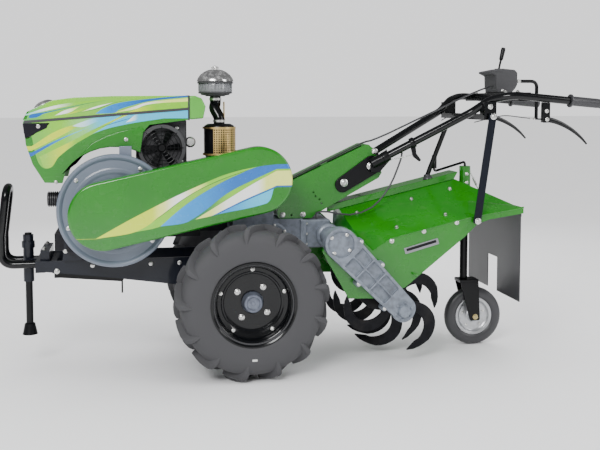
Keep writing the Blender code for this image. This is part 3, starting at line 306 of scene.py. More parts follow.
@dataclass(frozen=True)
class Paint(Finish):
    """Sprayed enamel with slight orange peel, a clear coat, fine scratches and settled dust."""

    coat: float = 0.6
    peel: float = 0.00012
    dust: float = 0.05
    streaks: Sequence[Streak] = ()
    sides_from: float = 0.0

    def base(self, nodes: Nodes) -> object:
        """The paint's own colour, a little uneven.

        Args:
            nodes: The tree of its material.

        Returns:
            The colour.
        """
        cloud = nodes.ramp(nodes.noise(6.0), 0.3, 0.7)
        darker = tuple(0.86 * part for part in self.colour)
        return nodes.mix(cloud, darker, self.colour)

    def drawn(self, nodes: Nodes, colour: object) -> object:
        """The colour with its streaks drawn over it: print, and on the bonnet also a painted highlight.

        Args:
            nodes: The material's nodes.
            colour: What lies under the streaks.

        Returns:
            The printed colour.
        """
        if not self.streaks:
            return colour
        x, y, z = nodes.axes()
        on_side = ((y * y - self.sides_from**2) / 0.0004).clamped()
        points = [point for streak in self.streaks for point in (*streak.top, *streak.bottom)]
        low_x, high_x = (pick(point[0] for point in points) for pick in (min, max))
        low_z, high_z = (pick(point[1] for point in points) for pick in (min, max))
        across = ((x - low_x) / (high_x - low_x)).clamped()
        up = (z - low_z) / (high_z - low_z)

        def edge(line: Sequence[tuple[float, float]]) -> Value:
            """The height of an edge, from 0 to 1 of the print's own box."""
            scaled = [((px - low_x) / (high_x - low_x), (pz - low_z) / (high_z - low_z)) for px, pz in line]
            return nodes.curve(across, scaled)

        soft = 0.0009 / (high_z - low_z)
        for streak in self.streaks:
            inside = (edge(streak.top) - up).least(up - edge(streak.bottom))
            shown = streak.colours[0][1]
            for (start, _), (end, following) in zip(streak.colours, streak.colours[1:]):
                shown = nodes.mix(nodes.ramp(x, start, end), shown, following)
            colour = nodes.mix((inside / soft).clamped() * on_side, colour, shown)
        return colour

    def build(self) -> bpy.types.Material:
        """Makes the material.

        Returns:
            The material.
        """
        nodes = Nodes(self.name)
        dust = nodes.ramp(nodes.noise(38.0, 6.0), 0.52, 0.8) * self.dust
        settled = (0.3, 0.28, 0.24) if max(self.colour) > 0.05 else (0.03, 0.03, 0.03)
        colour = nodes.mix(dust, self.drawn(nodes, self.base(nodes)), settled)
        scratch = nodes.ramp(nodes.noise(90.0, 2.0, (0.15, 1.0, 3.0)), 0.66, 0.72)
        smear = nodes.ramp(nodes.noise(11.0, 4.0), 0.35, 0.75)
        rough = self.roughness + smear * 0.08 + scratch * 0.12 + dust * 0.9
        skin = nodes.noise(420.0, 1.0)
        return nodes.surface(
            {
                "Base Color": colour,
                "Roughness": rough,
                "Coat Weight": self.coat - dust * 0.8,
                "Coat Roughness": 0.08,
                "Specular IOR Level": self.sheen(),
                "Normal": nodes.bump(skin, self.peel),
            }
        )


@dataclass(frozen=True)
class Casting(Finish):
    """Painted sand casting: a grainy skin with soft pits and darker hollows."""

    grain: float = 0.0009
    metallic: float = 0.15

    def build(self) -> bpy.types.Material:
        """Makes the material.

        Returns:
            The material.
        """
        nodes = Nodes(self.name)
        grain = nodes.noise(260.0, 4.0)
        pits = nodes.ramp(nodes.noise(46.0, 5.0), 0.3, 0.62)
        grime = nodes.ramp(nodes.noise(14.0, 6.0), 0.5, 0.78)
        light = tuple(min(1.0, 1.16 * part) for part in self.colour)
        colour = nodes.mix(pits, tuple(0.8 * part for part in self.colour), light)
        colour = nodes.mix(grime * 0.3, colour, (0.05, 0.045, 0.04))
        return nodes.surface(
            {
                "Base Color": colour,
                "Roughness": self.roughness + grime * 0.2 - pits * 0.06,
                "Metallic": self.metallic,
                "Specular IOR Level": self.sheen(),
                "Normal": nodes.bump(grain * 0.6 + pits * 0.4, self.grain, 0.7),
            }
        )


@dataclass(frozen=True)
class Rubber(Finish):
    """Moulded rubber with a fine skin and a bloom of dust."""

    bloom: Colour = (0.05, 0.05, 0.052)

    def build(self) -> bpy.types.Material:
        """Makes the material.

        Returns:
            The material.
        """
        nodes = Nodes(self.name)
        skin = nodes.noise(520.0, 3.0)
        bloom = nodes.ramp(nodes.noise(17.0, 7.0), 0.36, 0.74)
        return nodes.surface(
            {
                "Base Color": nodes.mix(bloom * 0.55, self.colour, self.bloom),
                "Roughness": self.roughness + bloom * 0.18,
                "Specular IOR Level": self.sheen(),
                "Normal": nodes.bump(skin, 0.0004, 0.6),
            }
        )


@dataclass(frozen=True)
class Metal(Finish):
    """Bare or plated metal with brush lines and dulled patches."""

    tarnish: Colour = (0.25, 0.24, 0.22)
    brush: Colour = (1.0, 1.0, 14.0)
    spread: float = 0.25

    def build(self) -> bpy.types.Material:
        """Makes the material.

        Returns:
            The material.
        """
        nodes = Nodes(self.name)
        lines = nodes.noise(150.0, 3.0, self.brush)
        patch = nodes.ramp(nodes.noise(60.0, 5.0), 0.45, 0.75)
        return nodes.surface(
            {
                "Base Color": nodes.mix(patch * self.spread, self.colour, self.tarnish),
                "Roughness": self.roughness + lines * 0.12 + patch * 0.14,
                "Metallic": 1.0 - patch * 0.25,
                "Specular IOR Level": self.sheen(),
                "Normal": nodes.bump(lines, 0.00015, 0.5),
            }
        )


@dataclass(frozen=True)
class Plastic(Finish):
    """Moulded plastic, leather-grained or clear."""

    grain: float = 0.0003
    clear: float = 0.0

    def build(self) -> bpy.types.Material:
        """Makes the material.

        Returns:
            The material.
        """
        nodes = Nodes(self.name)
        leather = nodes.ramp(nodes.noise(330.0, 2.0), 0.35, 0.65)
        wear = nodes.ramp(nodes.noise(22.0, 5.0), 0.5, 0.8)
        lighter = tuple(1.2 * part + 0.004 for part in self.colour)
        return nodes.surface(
            {
                "Base Color": nodes.mix(wear * 0.5, self.colour, lighter),
                "Roughness": self.roughness + wear * 0.12,
                "Transmission Weight": self.clear,
                "Coat Weight": 0.05,
                "Specular IOR Level": self.sheen(),
                "Normal": nodes.bump(leather, self.grain, 0.5),
            }
        )


LIME: Colour = (0.22, 0.58, 0.02)
YELLOW: Colour = (0.6, 0.74, 0.01)
CREAM: Colour = (0.78, 0.86, 0.2)
WHITE: Colour = (0.92, 0.93, 0.9)
BLUE: Colour = (0.001, 0.11, 0.46)
SKY: Colour = (0.004, 0.3, 0.74)
CYAN: Colour = (0.05, 0.52, 0.8)
FOREST: Colour = (0.003, 0.2, 0.05)
LEAF: Colour = (0.008, 0.185, 0.002)

COVER_PRINT = (
    Streak(
        (
            (-0.8788, 0.591), (-0.7132, 0.6803), (-0.4584, 0.8004), (-0.3412, 0.845), (-0.2291, 0.8694),
            (-0.155, 0.879)
        ),
        (
            (-0.8788, 0.589), (-0.7132, 0.6168), (-0.6316, 0.6707), (-0.5195, 0.7502), (-0.4074, 0.8073),
            (-0.2291, 0.869)
        ),
        ((-0.66, YELLOW), (-0.62, CREAM), (-0.55, WHITE), (-0.48, CREAM), (-0.42, LIME)),
    ),
    Streak(
        (
            (-0.735, 0.612), (-0.7132, 0.6188), (-0.6316, 0.6687), (-0.5195, 0.7482), (-0.4074, 0.8053),
            (-0.2291, 0.868)
        ),
        (
            (-0.735, 0.611), (-0.6215, 0.6348), (-0.5348, 0.7094), (-0.4278, 0.7793), (-0.3055, 0.8393),
            (-0.2291, 0.8668)
        ),
        ((-0.6, LIME), (-0.4, (0.22, 0.5, 0.04))),
    ),
    Streak(
        (
            (-0.6245, 0.634), (-0.5348, 0.7094), (-0.4278, 0.7793), (-0.3055, 0.8393), (-0.2291, 0.868),
            (-0.152, 0.8775)
        ),
        (
            (-0.6245, 0.633), (-0.5195, 0.6475), (-0.4584, 0.6846), (-0.3463, 0.7674), (-0.2546, 0.8125),
            (-0.1527, 0.8579)
        ),
        ((-0.6, SKY), (-0.5, (0.005, 0.25, 0.66)), (-0.3, (0.004, 0.13, 0.48))),
    ),
    Streak(
        ((-0.5195, 0.6475), (-0.4584, 0.6846), (-0.3463, 0.7674), (-0.2546, 0.8125), (-0.1527, 0.8579)),
        ((-0.5195, 0.647), (-0.4839, 0.6595), (-0.3769, 0.7241), (-0.2546, 0.7969), (-0.1527, 0.852)),
        ((-0.46, FOREST), (-0.33, LIME)),
    ),
    Streak(
        ((-0.4839, 0.6595), (-0.3769, 0.7241), (-0.2546, 0.7969), (-0.1527, 0.8515)),
        ((-0.4839, 0.658), (-0.4125, 0.6732), (-0.3055, 0.7252), (-0.1628, 0.7849)),
        ((-0.43, CREAM), (-0.34, WHITE), (-0.24, WHITE), (-0.19, CREAM)),
    ),
    Streak(
        ((-0.4125, 0.6745), (-0.3055, 0.7252), (-0.1628, 0.7849)),
        ((-0.4125, 0.672), (-0.3972, 0.6765), (-0.3055, 0.719), (-0.1654, 0.7776)),
        ((-0.4, BLUE), (-0.2, BLUE)),
    ),
    Streak(
        ((-0.3972, 0.6765), (-0.3055, 0.719), (-0.1654, 0.7776)),
        ((-0.3972, 0.6765), (-0.2138, 0.7118), (-0.19, 0.7205), (-0.1654, 0.777)),
        ((-0.38, SKY), (-0.22, CYAN)),
    ),
)

BONNET_PRINT_AND_GLARE = (
    Streak(
        ((-1.148, 1.062), (-1.132, 1.1), (-1.05, 1.142), (-0.95, 1.165), (-0.44, 1.17)),
        ((-1.148, 1.055), (-1.1, 1.05), (-0.44, 1.09)),
        ((-1.14, (0.1, 0.42, 0.1)), (-1.05, LIME), (-0.9, (0.2, 0.52, 0.05)), (-0.5, LIME)),
    ),
    # Painted highlight: this streak paints glare, pale cyan at the front edge and white above the blue line,
    # fading to lime towards the rear.
    Streak(
        ((-1.14, 1.085), (-1.0778, 1.106), (-0.9929, 1.125), (-0.8387, 1.142)),
        ((-1.14, 1.079), (-1.0778, 1.094), (-0.9929, 1.112), (-0.8387, 1.1385)),
        ((-1.13, (0.35, 0.75, 0.7)), (-1.06, WHITE), (-0.95, LIME)),
    ),
    Streak(
        (
            (-1.138, 1.072), (-1.1332, 1.08), (-1.0778, 1.0906), (-0.9929, 1.108), (-0.9158, 1.1251),
            (-0.8387, 1.1374)
        ),
        (
            (-1.138, 1.068), (-1.1332, 1.066), (-1.0778, 1.0836), (-0.9929, 1.1036), (-0.9158, 1.122),
            (-0.8387, 1.1364)
        ),
        ((-1.12, BLUE), (-1.0, (0.004, 0.22, 0.2)), (-0.9, FOREST)),
    ),
    Streak(
        ((-1.0373, 1.0768), (-0.9929, 1.0995), (-0.939, 1.1131)),
        ((-1.0373, 1.0758), (-0.9929, 1.084), (-0.939, 1.1121)),
        ((-1.0, WHITE), (-0.95, CREAM)),
    ),
    Streak(
        ((-0.9968, 1.0799), (-0.9467, 1.0985), (-0.8965, 1.1139)),
        ((-0.9968, 1.0789), (-0.9467, 1.089), (-0.8965, 1.1129)),
        ((-1.0, YELLOW), (-0.9, LIME)),
    ),
    Streak(
        ((-0.9351, 1.0905), (-0.8772, 1.1122), (-0.8078, 1.1288)),
        ((-0.9351, 1.0895), (-0.8772, 1.1042), (-0.8078, 1.1278)),
        ((-0.93, CREAM), (-0.88, WHITE)),
    ),
    Streak(
        ((-0.9698, 1.0837), (-0.8772, 1.1032), (-0.7808, 1.1327), (-0.65, 1.15)),
        ((-0.9698, 1.0827), (-0.8772, 1.1002), (-0.7808, 1.1307), (-0.65, 1.149)),
        ((-0.95, FOREST), (-0.7, FOREST)),
    ),
    Streak(
        ((-0.8772, 1.0838), (-0.8387, 1.1082), (-0.7808, 1.1278), (-0.6582, 1.1443), (-0.4955, 1.1592)),
        (
            (-0.8772, 1.0828), (-0.8001, 1.0866), (-0.7847, 1.0983), (-0.723, 1.118), (-0.6582, 1.1337),
            (-0.4955, 1.1513)
        ),
        ((-0.87, SKY), (-0.8, (0.004, 0.2, 0.6)), (-0.66, (0.004, 0.11, 0.42))),
    ),
    Streak(
        ((-0.7886, 1.0915), (-0.723, 1.1122), (-0.6582, 1.131), (-0.4955, 1.148)),
        ((-0.7886, 1.0885), (-0.723, 1.1002), (-0.6582, 1.121), (-0.4955, 1.133)),
        ((-0.78, CREAM), (-0.7, WHITE), (-0.58, CREAM)),
    ),
    Streak(
        ((-0.7476, 1.0885), (-0.6582, 1.116), (-0.4955, 1.128)),
        ((-0.7476, 1.078), (-0.6582, 1.09), (-0.4955, 1.1)),
        ((-0.74, YELLOW), (-0.62, LIME)),
    ),
)

SKIRT_PRINT = (
    Streak(
        ((-1.1305, 0.993), (-1.12, 1.1), (-0.6, 1.15)),
        (
            (-1.1305, 0.9925), (-1.0739, 0.861), (-1.0238, 0.9081), (-0.9698, 0.9512), (-0.9158, 0.9865),
            (-0.8541, 1.014), (-0.7616, 1.0375), (-0.6, 1.063)
        ),
        ((-1.13, (0.16, 0.48, 0.05)), (-1.02, LIME), (-0.93, (0.25, 0.62, 0.16)), (-0.84, CYAN)),
    ),
    Streak(
        ((-1.1241, 0.9573), (-1.0315, 1.0144), (-0.9158, 1.0536)),
        ((-1.1241, 0.9373), (-1.0315, 0.9844), (-0.9158, 1.0486)),
        ((-1.12, YELLOW), (-1.0, YELLOW), (-0.93, LIME)),
    ),
    Streak(
        ((-0.9701, 1.0336), (-0.9351, 1.0486), (-0.8772, 1.0652), (-0.8078, 1.069)),
        ((-0.9701, 1.0326), (-0.9351, 1.0286), (-0.8772, 1.0472), (-0.8078, 1.066)),
        ((-0.94, (0.6, 0.82, 0.88)), (-0.85, CYAN)),
    ),
    Streak(
        ((-1.1106, 0.9376), (-1.0508, 0.969), (-0.9929, 0.9945), (-0.9351, 1.017)),
        ((-1.1106, 0.9236), (-1.0508, 0.958), (-0.9929, 0.9885), (-0.9351, 1.014)),
        ((-1.1, BLUE), (-1.0, (0.01, 0.25, 0.6)), (-0.95, CYAN)),
    ),
    Streak(
        ((-1.0971, 0.912), (-1.0161, 0.9512), (-0.9312, 0.9944)),
        ((-1.0971, 0.9), (-1.0739, 0.863), (-1.0238, 0.9101), (-0.9698, 0.9532), (-0.9312, 0.976)),
        ((-1.09, (0.28, 0.6, 0.05)), (-1.0, YELLOW), (-0.95, LIME)),
    ),
    Streak(
        ((-0.885, 1.0199), (-0.8271, 1.0484), (-0.7693, 1.0729)),
        ((-0.885, 1.0159), (-0.8271, 1.0424), (-0.7693, 1.0669)),
        ((-0.88, LIME), (-0.78, YELLOW)),
    ),
    Streak(
        ((-0.8618, 1.0278), (-0.7924, 1.0503), (-0.7153, 1.0719)),
        ((-0.8618, 1.0258), (-0.7924, 1.0463), (-0.7153, 1.0699)),
        ((-0.85, FOREST), (-0.78, BLUE)),
    ),
    Streak(
        ((-0.74, 1.06), (-0.715, 1.08), (-0.69, 1.09)),
        ((-0.74, 1.05), (-0.715, 1.056), (-0.69, 1.08)),
        ((-0.74, WHITE), (-0.7, CYAN)),
    ),
)


class Look(Enum):
    """Every finish of the machine."""

    GREEN = Paint("gloss_green", "green_paint", LEAF, 0.26)
    BONNET = Paint(
        "striped_bonnet", "green_paint", LEAF, 0.22, coat=0.8, streaks=BONNET_PRINT_AND_GLARE, sides_from=SIDES_DRAWN_FROM
    )
    SKIRT = Paint(
        "striped_skirt", "green_paint", (0.02, 0.205, 0.012), 0.22, coat=0.8, streaks=SKIRT_PRINT,
        sides_from=SIDES_DRAWN_FROM
    )
    COVER = Paint("striped_cover", "green_paint", LEAF, 0.24, coat=0.8, streaks=COVER_PRINT)
    CAP_GREEN = Paint("light_green_cap", "green_paint", (0.1, 0.42, 0.05), 0.3)
    FRAME = Paint("frame_enamel", "frame_paint", (0.0085, 0.0105, 0.017), 0.3, coat=0.3)
    BLACK = Paint("black_enamel", "black_paint", (0.003, 0.0034, 0.0042), 0.2, coat=0.4)
    SATIN = Paint("satin_black", "black_paint", (0.004, 0.0042, 0.0052), 0.36, coat=0.15)
    CASTING = Casting("blue_grey_casting", "casting_grey", (0.165, 0.185, 0.225), 0.42)
    IRON = Casting("blue_grey_iron", "iron_grey", (0.175, 0.2, 0.24), 0.38)
    GUARD = Paint("blue_grey_enamel", "casting_grey", (0.15, 0.18, 0.235), 0.34, coat=0.3)
    PULLEY = Casting("machined_iron", "pulley_iron", (0.16, 0.17, 0.19), 0.34, grain=0.0003, metallic=0.75)
    HUB = Casting("hub_iron", "pulley_iron", (0.13, 0.145, 0.185), 0.34, grain=0.0004, metallic=0.35)
    ENGINE = Casting("black_engine", "engine_casting", (0.014, 0.014, 0.017), 0.46)
    MOULDING = Plastic("black_moulding", "black_moulding", (0.004, 0.004, 0.0048), 0.32)
    LENS = Plastic("lamp_glass", "lamp_lens", (0.012, 0.012, 0.016), 0.12, grain=0.00008)
    CLEAR_LENS = Plastic("lamp_front", "lamp_lens", (0.55, 0.57, 0.6), 0.08, grain=0.0001, clear=0.5)
    TYRE = Rubber("tyre_rubber", "tyre_rubber", (0.002, 0.0024, 0.0034), 0.4, bloom=(0.006, 0.0068, 0.0085))
    RUBBER = Rubber("black_rubber", "black_rubber", (0.003, 0.003, 0.0036), 0.44, bloom=(0.009, 0.009, 0.011))
    ZINC = Metal("zinc_plate", "bright_steel", (0.74, 0.74, 0.72), 0.24)
    STEEL = Metal("bright_steel", "bright_steel", (0.6, 0.6, 0.62), 0.22)
    BRASS = Metal("yellow_zinc", "bright_steel", (0.62, 0.52, 0.26), 0.3, tarnish=(0.22, 0.16, 0.06))
    SILVER = Metal("silver_rim", "bright_steel", (0.56, 0.57, 0.59), 0.32)
    CHROME = Metal("chrome_dome", "cap_metal", (0.8, 0.8, 0.8), 0.1, spread=0.1)
    CAP = Metal("filler_cap", "cap_metal", (0.82, 0.82, 0.8), 0.26, spread=0.1)
    BLANK = Plastic("blank_label", "cap_metal", (0.72, 0.72, 0.7), 0.5)
    PLATE = Metal("blank_plate", "cap_metal", (0.34, 0.34, 0.37), 0.36)
    BOWL = Plastic("smoked_bowl", "cleaner_bowl", (0.42, 0.43, 0.45), 0.14, grain=0.00005, clear=0.55)
    GOLD = Metal("perforated_gold", "guard_gold", (0.78, 0.56, 0.22), 0.28, tarnish=(0.3, 0.18, 0.06))
    BLADE = Casting("blade_steel", "tine_steel", (0.0085, 0.0088, 0.011), 0.34, grain=0.0004, metallic=0.3)

    def material(self) -> bpy.types.Material:
        """The finish's one material, made when it's first asked for."""
        return bpy.data.materials.get(self.value.name) or self.value.build()


# ---------------------------------------------------------------- mesh tools


def piece(name: str, bm: bmesh.types.BMesh, angle: float = 35.0) -> bpy.types.Object:
    """Turns a bmesh into an object that is smooth except at its sharp edges.

    Args:
        name: The object's name.
        bm: The mesh, which is freed.
        angle: Edges sharper than this, in degrees, stay sharp.

    Returns:
        The object.
    """
    bmesh.ops.remove_doubles(bm, verts=bm.verts, dist=0.00001)
    bmesh.ops.recalc_face_normals(bm, faces=bm.faces)
    mesh = bpy.data.meshes.new(name)
    bm.to_mesh(mesh)
    bm.free()
    mesh.shade_smooth()
    mesh.set_sharp_from_angle(angle=math.radians(angle))
    obj = bpy.data.objects.new(name, mesh)
    show(obj)
    return obj


def show(obj: bpy.types.Object) -> None:
    """Puts an object in the scene."""
    bpy.context.scene.collection.objects.link(obj)


def settle(obj: bpy.types.Object) -> bpy.types.Object:
    """Turns what the modifiers make into the object's own plain mesh.

    Args:
        obj: The object.

    Returns:
        The object, without modifiers.
    """
    graph = bpy.context.evaluated_depsgraph_get()
    mesh = bpy.data.meshes.new_from_object(
        obj.evaluated_get(graph), preserve_all_data_layers=True, depsgraph=graph
    )
    obj.modifiers.clear()
    obj.data = mesh
    return obj


def drop(*objects: bpy.types.Object) -> None:
    """Removes objects."""
    for obj in objects:
        bpy.data.objects.remove(obj, do_unlink=True)


def soften(obj: bpy.types.Object, width: float, segments: int = 3, angle: float = 32.0) -> bpy.types.Object:
    """Rounds the sharp edges and keeps flat faces flat in the light.

    Args:
        obj: The piece.
        width: How far a rounding reaches, in metres.
        segments: Its steps.
        angle: Edges sharper than this, in degrees, are rounded.

    Returns:
        The piece.
    """
    bevel = obj.modifiers.new("edges", "BEVEL")
    bevel.width = width
    bevel.segments = segments
    bevel.limit_method = "ANGLE"
    bevel.angle_limit = math.radians(angle)
    bevel.use_clamp_overlap = True
    obj.modifiers.new("light", "WEIGHTED_NORMAL").keep_sharp = True
    return settle(obj)


def combined(base: bpy.types.Object, operation: str, others: Iterable[bpy.types.Object]) -> bpy.types.Object:
    """Adds other solids to a piece, or cuts them from it.

    Args:
        base: The piece.
        operation: UNION or DIFFERENCE.
        others: The other solids, which are used up.

    Returns:
        The piece.
    """
    others = list(others)
    for other in others:
        boolean = base.modifiers.new("solid", "BOOLEAN")
        boolean.operation = operation
        boolean.solver = "EXACT"
        boolean.object = other
    settle(base)
    drop(*others)
    base.data.shade_smooth()
    base.data.set_sharp_from_angle(angle=math.radians(35.0))
    return base


def joined(name: str, objects: Sequence[bpy.types.Object]) -> bpy.types.Object:
    """One object from several.

    Args:
        name: The joined object's name.
        objects: The objects, all used up but the first.

    Returns:
        The joined object.
    """
    with bpy.context.temp_override(active_object=objects[0], selected_editable_objects=list(objects)):
        bpy.ops.object.join()
    objects[0].name = name
    return objects[0]


def bridge(bm: bmesh.types.BMesh, first: Sequence, second: Sequence) -> None:
    """Joins two rings of points, of any number or one at a pole, with a band of faces.

    Args:
        bm: The mesh they belong to.
        first: The points of one ring.
        second: The points of the other.
    """
    count = max(len(first), len(second))
    for number in range(count):
        after = (number + 1) % count
        pairs = ((first, number), (first, after), (second, after), (second, number))
        loop = list(dict.fromkeys(ring[place % len(ring)] for ring, place in pairs))
        if len(loop) > 2:
            bm.faces.new(loop)


def lathe(
    name: str,
    profile: Sequence[tuple[float, float]],
    origin: Place,
    axis: Place = (0.0, 0.0, 1.0),
    steps: int = 64,
    fillet: float = 0.0,
) -> bpy.types.Object:
    """A turned piece.

    Args:
        name: The object's name.
        profile: (radius, height) points; a profile that isn't on the axis at both ends is closed.
        origin: The foot of its axis.
        axis: The way its axis points.
        steps: How many sides it has.
        fillet: The radius of its rounded corners.

    Returns:
        The piece.
    """
    closed = profile[0][0] > TINY and profile[-1][0] > TINY
    if fillet:
        points = filleted([(radius, 0.0, height) for radius, height in profile], fillet, 3, closed)
        profile = [(max(0.0, point.x), point.z) for point in points]
    bm = bmesh.new()
    rings = []
    for radius, height in profile:
        turns = 1 if radius < TINY else steps
        angles = [2 * math.pi * number / steps for number in range(turns)]
        rings.append([bm.verts.new((radius * math.cos(a), radius * math.sin(a), height)) for a in angles])
    pairs = list(zip(rings, rings[1:]))
    if closed:
        pairs.append((rings[-1], rings[0]))
    for first, second in pairs:
        bridge(bm, first, second)
    turn = Vector(axis).to_track_quat("Z", "Y").to_matrix().to_4x4()
    bm.transform(Matrix.Translation(Vector(origin)) @ turn)
    return piece(name, bm)


def filleted(points: Sequence[Place], radius: float, steps: int = 4, closed: bool = False) -> list[Vector]:
    """Points with their inner corners rounded.

    Args:
        points: The corners.
        radius: The radius of each rounding, less where a run is too short for it.
        steps: The steps of each rounding.
        closed: Whether the last point joins the first.

    Returns:
        The rounded line.
    """
    corners = [Vector(point).to_3d() for point in points]
    trios = list(zip(corners[-1:] + corners[:-1], corners, corners[1:] + corners[:1]))
    if not closed:
        trios = trios[1:-1]
    line = [] if closed else [corners[0]]
    for before, corner, after in trios:
        back, ahead = before - corner, after - corner
        half = back.angle(ahead) / 2
        if half > math.radians(87.0):
            line.append(corner)
            continue
        reach = min(radius / math.tan(half), 0.45 * min(back.length, ahead.length))
        start, end = corner + back.normalized() * reach, corner + ahead.normalized() * reach
        for step in range(steps + 1):
            t = step / steps
            line.append(start * (1 - t) ** 2 + corner * 2 * t * (1 - t) + end * t**2)
    return line if closed else line + [corners[-1]]


def smoothed(points: Sequence[Place], per: int = 4) -> list[Vector]:
    """Points on a smooth curve through knots.

    Args:
        points: The knots.
        per: How many points stand for each stretch between two knots.

    Returns:
        The points, with the last knot at the end.
    """
    knots = [Vector(point).to_3d() for point in points]
    ends = [2 * knots[0] - knots[1], *knots, 2 * knots[-1] - knots[-2]]
    line = []
    for a, b, c, d in zip(ends, ends[1:], ends[2:], ends[3:]):
        for step in range(per):
            t = step / per
            square, cube = 2 * a - 5 * b + 4 * c - d, 3 * b - a - 3 * c + d
            line.append(0.5 * (2 * b + (c - a) * t + square * t**2 + cube * t**3))
    return line + [knots[-1]]


def sweep(
    name: str, route: Sequence[Place], radius: float | Sequence[float], sides: int = 20, flat: float = 1.0
) -> bpy.types.Object:
    """A round bar or wire along a route.

    Args:
        name: The object's name.
        route: The points of its middle line.
        radius: Its radius, or one for each point.
        sides: How many sides it has.
        flat: Its thickness across as a share of its width.

    Returns:
        The piece, closed at both ends.
    """
    line = [Vector(point) for point in route]
    radii = [radius] * len(line) if isinstance(radius, (int, float)) else list(radius)
    ways = [
        (after - before).normalized() for before, after in zip(line[:1] + line[:-1], line[1:] + line[-1:])
    ]
    side = ways[0].orthogonal().normalized()
    if flat != 1.0:
        side = ways[0].cross(Vector((0.0, 1.0, 0.0))).normalized()
    bm = bmesh.new()
    rings = []
    for place, way, thick in zip(line, ways, radii):
        side = (side - way * side.dot(way)).normalized()
        up = way.cross(side)
        angles = [2 * math.pi * number / sides for number in range(sides)]
        rings.append(
            [bm.verts.new(place + (side * math.cos(a) + up * math.sin(a) * flat) * thick) for a in angles]
        )
    for first, second in zip(rings, rings[1:]):
        bridge(bm, first, second)
    bm.faces.new(rings[0][::-1])
    bm.faces.new(rings[-1])
    return piece(name, bm, 40.0)


def prism(
    name: str, outline: Sequence[tuple[float, float]], low: float, high: float, bevel: float = 0.0,
    corner: float = 0.0
) -> bpy.types.Object:
    """An (x, z) outline that is as thick as from y low to y high.

    Args:
        name: The object's name.
        outline: The corners, in the row's frame.
        low: Its lower y.
        high: Its higher y.
        bevel: The rounding of its edges.
        corner: The rounding of the outline's own corners.

    Returns:
        The piece.
    """
    points = [Vector((x, 0.0, z)) for x, z in outline]
    if corner:
        points = filleted(points, corner, 5, True)
    bm = bmesh.new()
    face = bm.faces.new([bm.verts.new((point.x, low, point.z)) for point in points])
    grown = bmesh.ops.extrude_face_region(bm, geom=[face])
    moved = [item for item in grown["geom"] if isinstance(item, bmesh.types.BMVert)]
    bmesh.ops.translate(bm, verts=moved, vec=(0.0, high - low, 0.0))
    obj = piece(name, bm)
    return soften(obj, bevel) if bevel else obj


def slab(name: str, low: Place, high: Place, bevel: float = 0.0015) -> bpy.types.Object:
    """A block with rounded edges between two corners.

    Args:
        name: The object's name.
        low: The lowest corner.
        high: The highest corner.
        bevel: The rounding of its edges.

    Returns:
        The piece.
    """
    low, high = Vector(low), Vector(high)
    outline = [(low.x, low.z), (high.x, low.z), (high.x, high.z), (low.x, high.z)]
    return prism(name, outline, low.y, high.y, bevel)


def circle(
    centre: tuple[float, float], radius: float, start: float = 0.0, end: float = 360.0, steps: int = 48
) -> list:
    """(x, z) points on an arc, in degrees from +x towards +z, without its end where it's a whole circle.

    Args:
        centre: Its middle, (x, z).
        radius: Its radius.
        start: Where it starts.
        end: Where it ends.
        steps: How many steps it takes.

    Returns:
        The points.
    """
    count = steps if abs(end - start) >= 360.0 else steps + 1
    angles = [math.radians(start + (end - start) * number / steps) for number in range(count)]
    return [(centre[0] + radius * math.cos(a), centre[1] + radius * math.sin(a)) for a in angles]


def capsule(first: tuple, first_radius: float, second: tuple, second_radius: float, steps: int = 28) -> list:
    """The outline of a band stretched round two circles.

    Args:
        first: The middle of one circle, (x, z).
        first_radius: Its radius.
        second: The middle of the other.
        second_radius: Its radius.
        steps: The steps of each arc.

    Returns:
        The outline.
    """
    along = math.degrees(math.atan2(second[1] - first[1], second[0] - first[0]))
    lean = math.degrees(math.acos((first_radius - second_radius) / math.dist(first, second)))
    near = circle(first, first_radius, along + lean, along + 360.0 - lean, steps)
    return near + circle(second, second_radius, along - lean, along + lean, steps)


# ---------------------------------------------------------------- repeated pieces


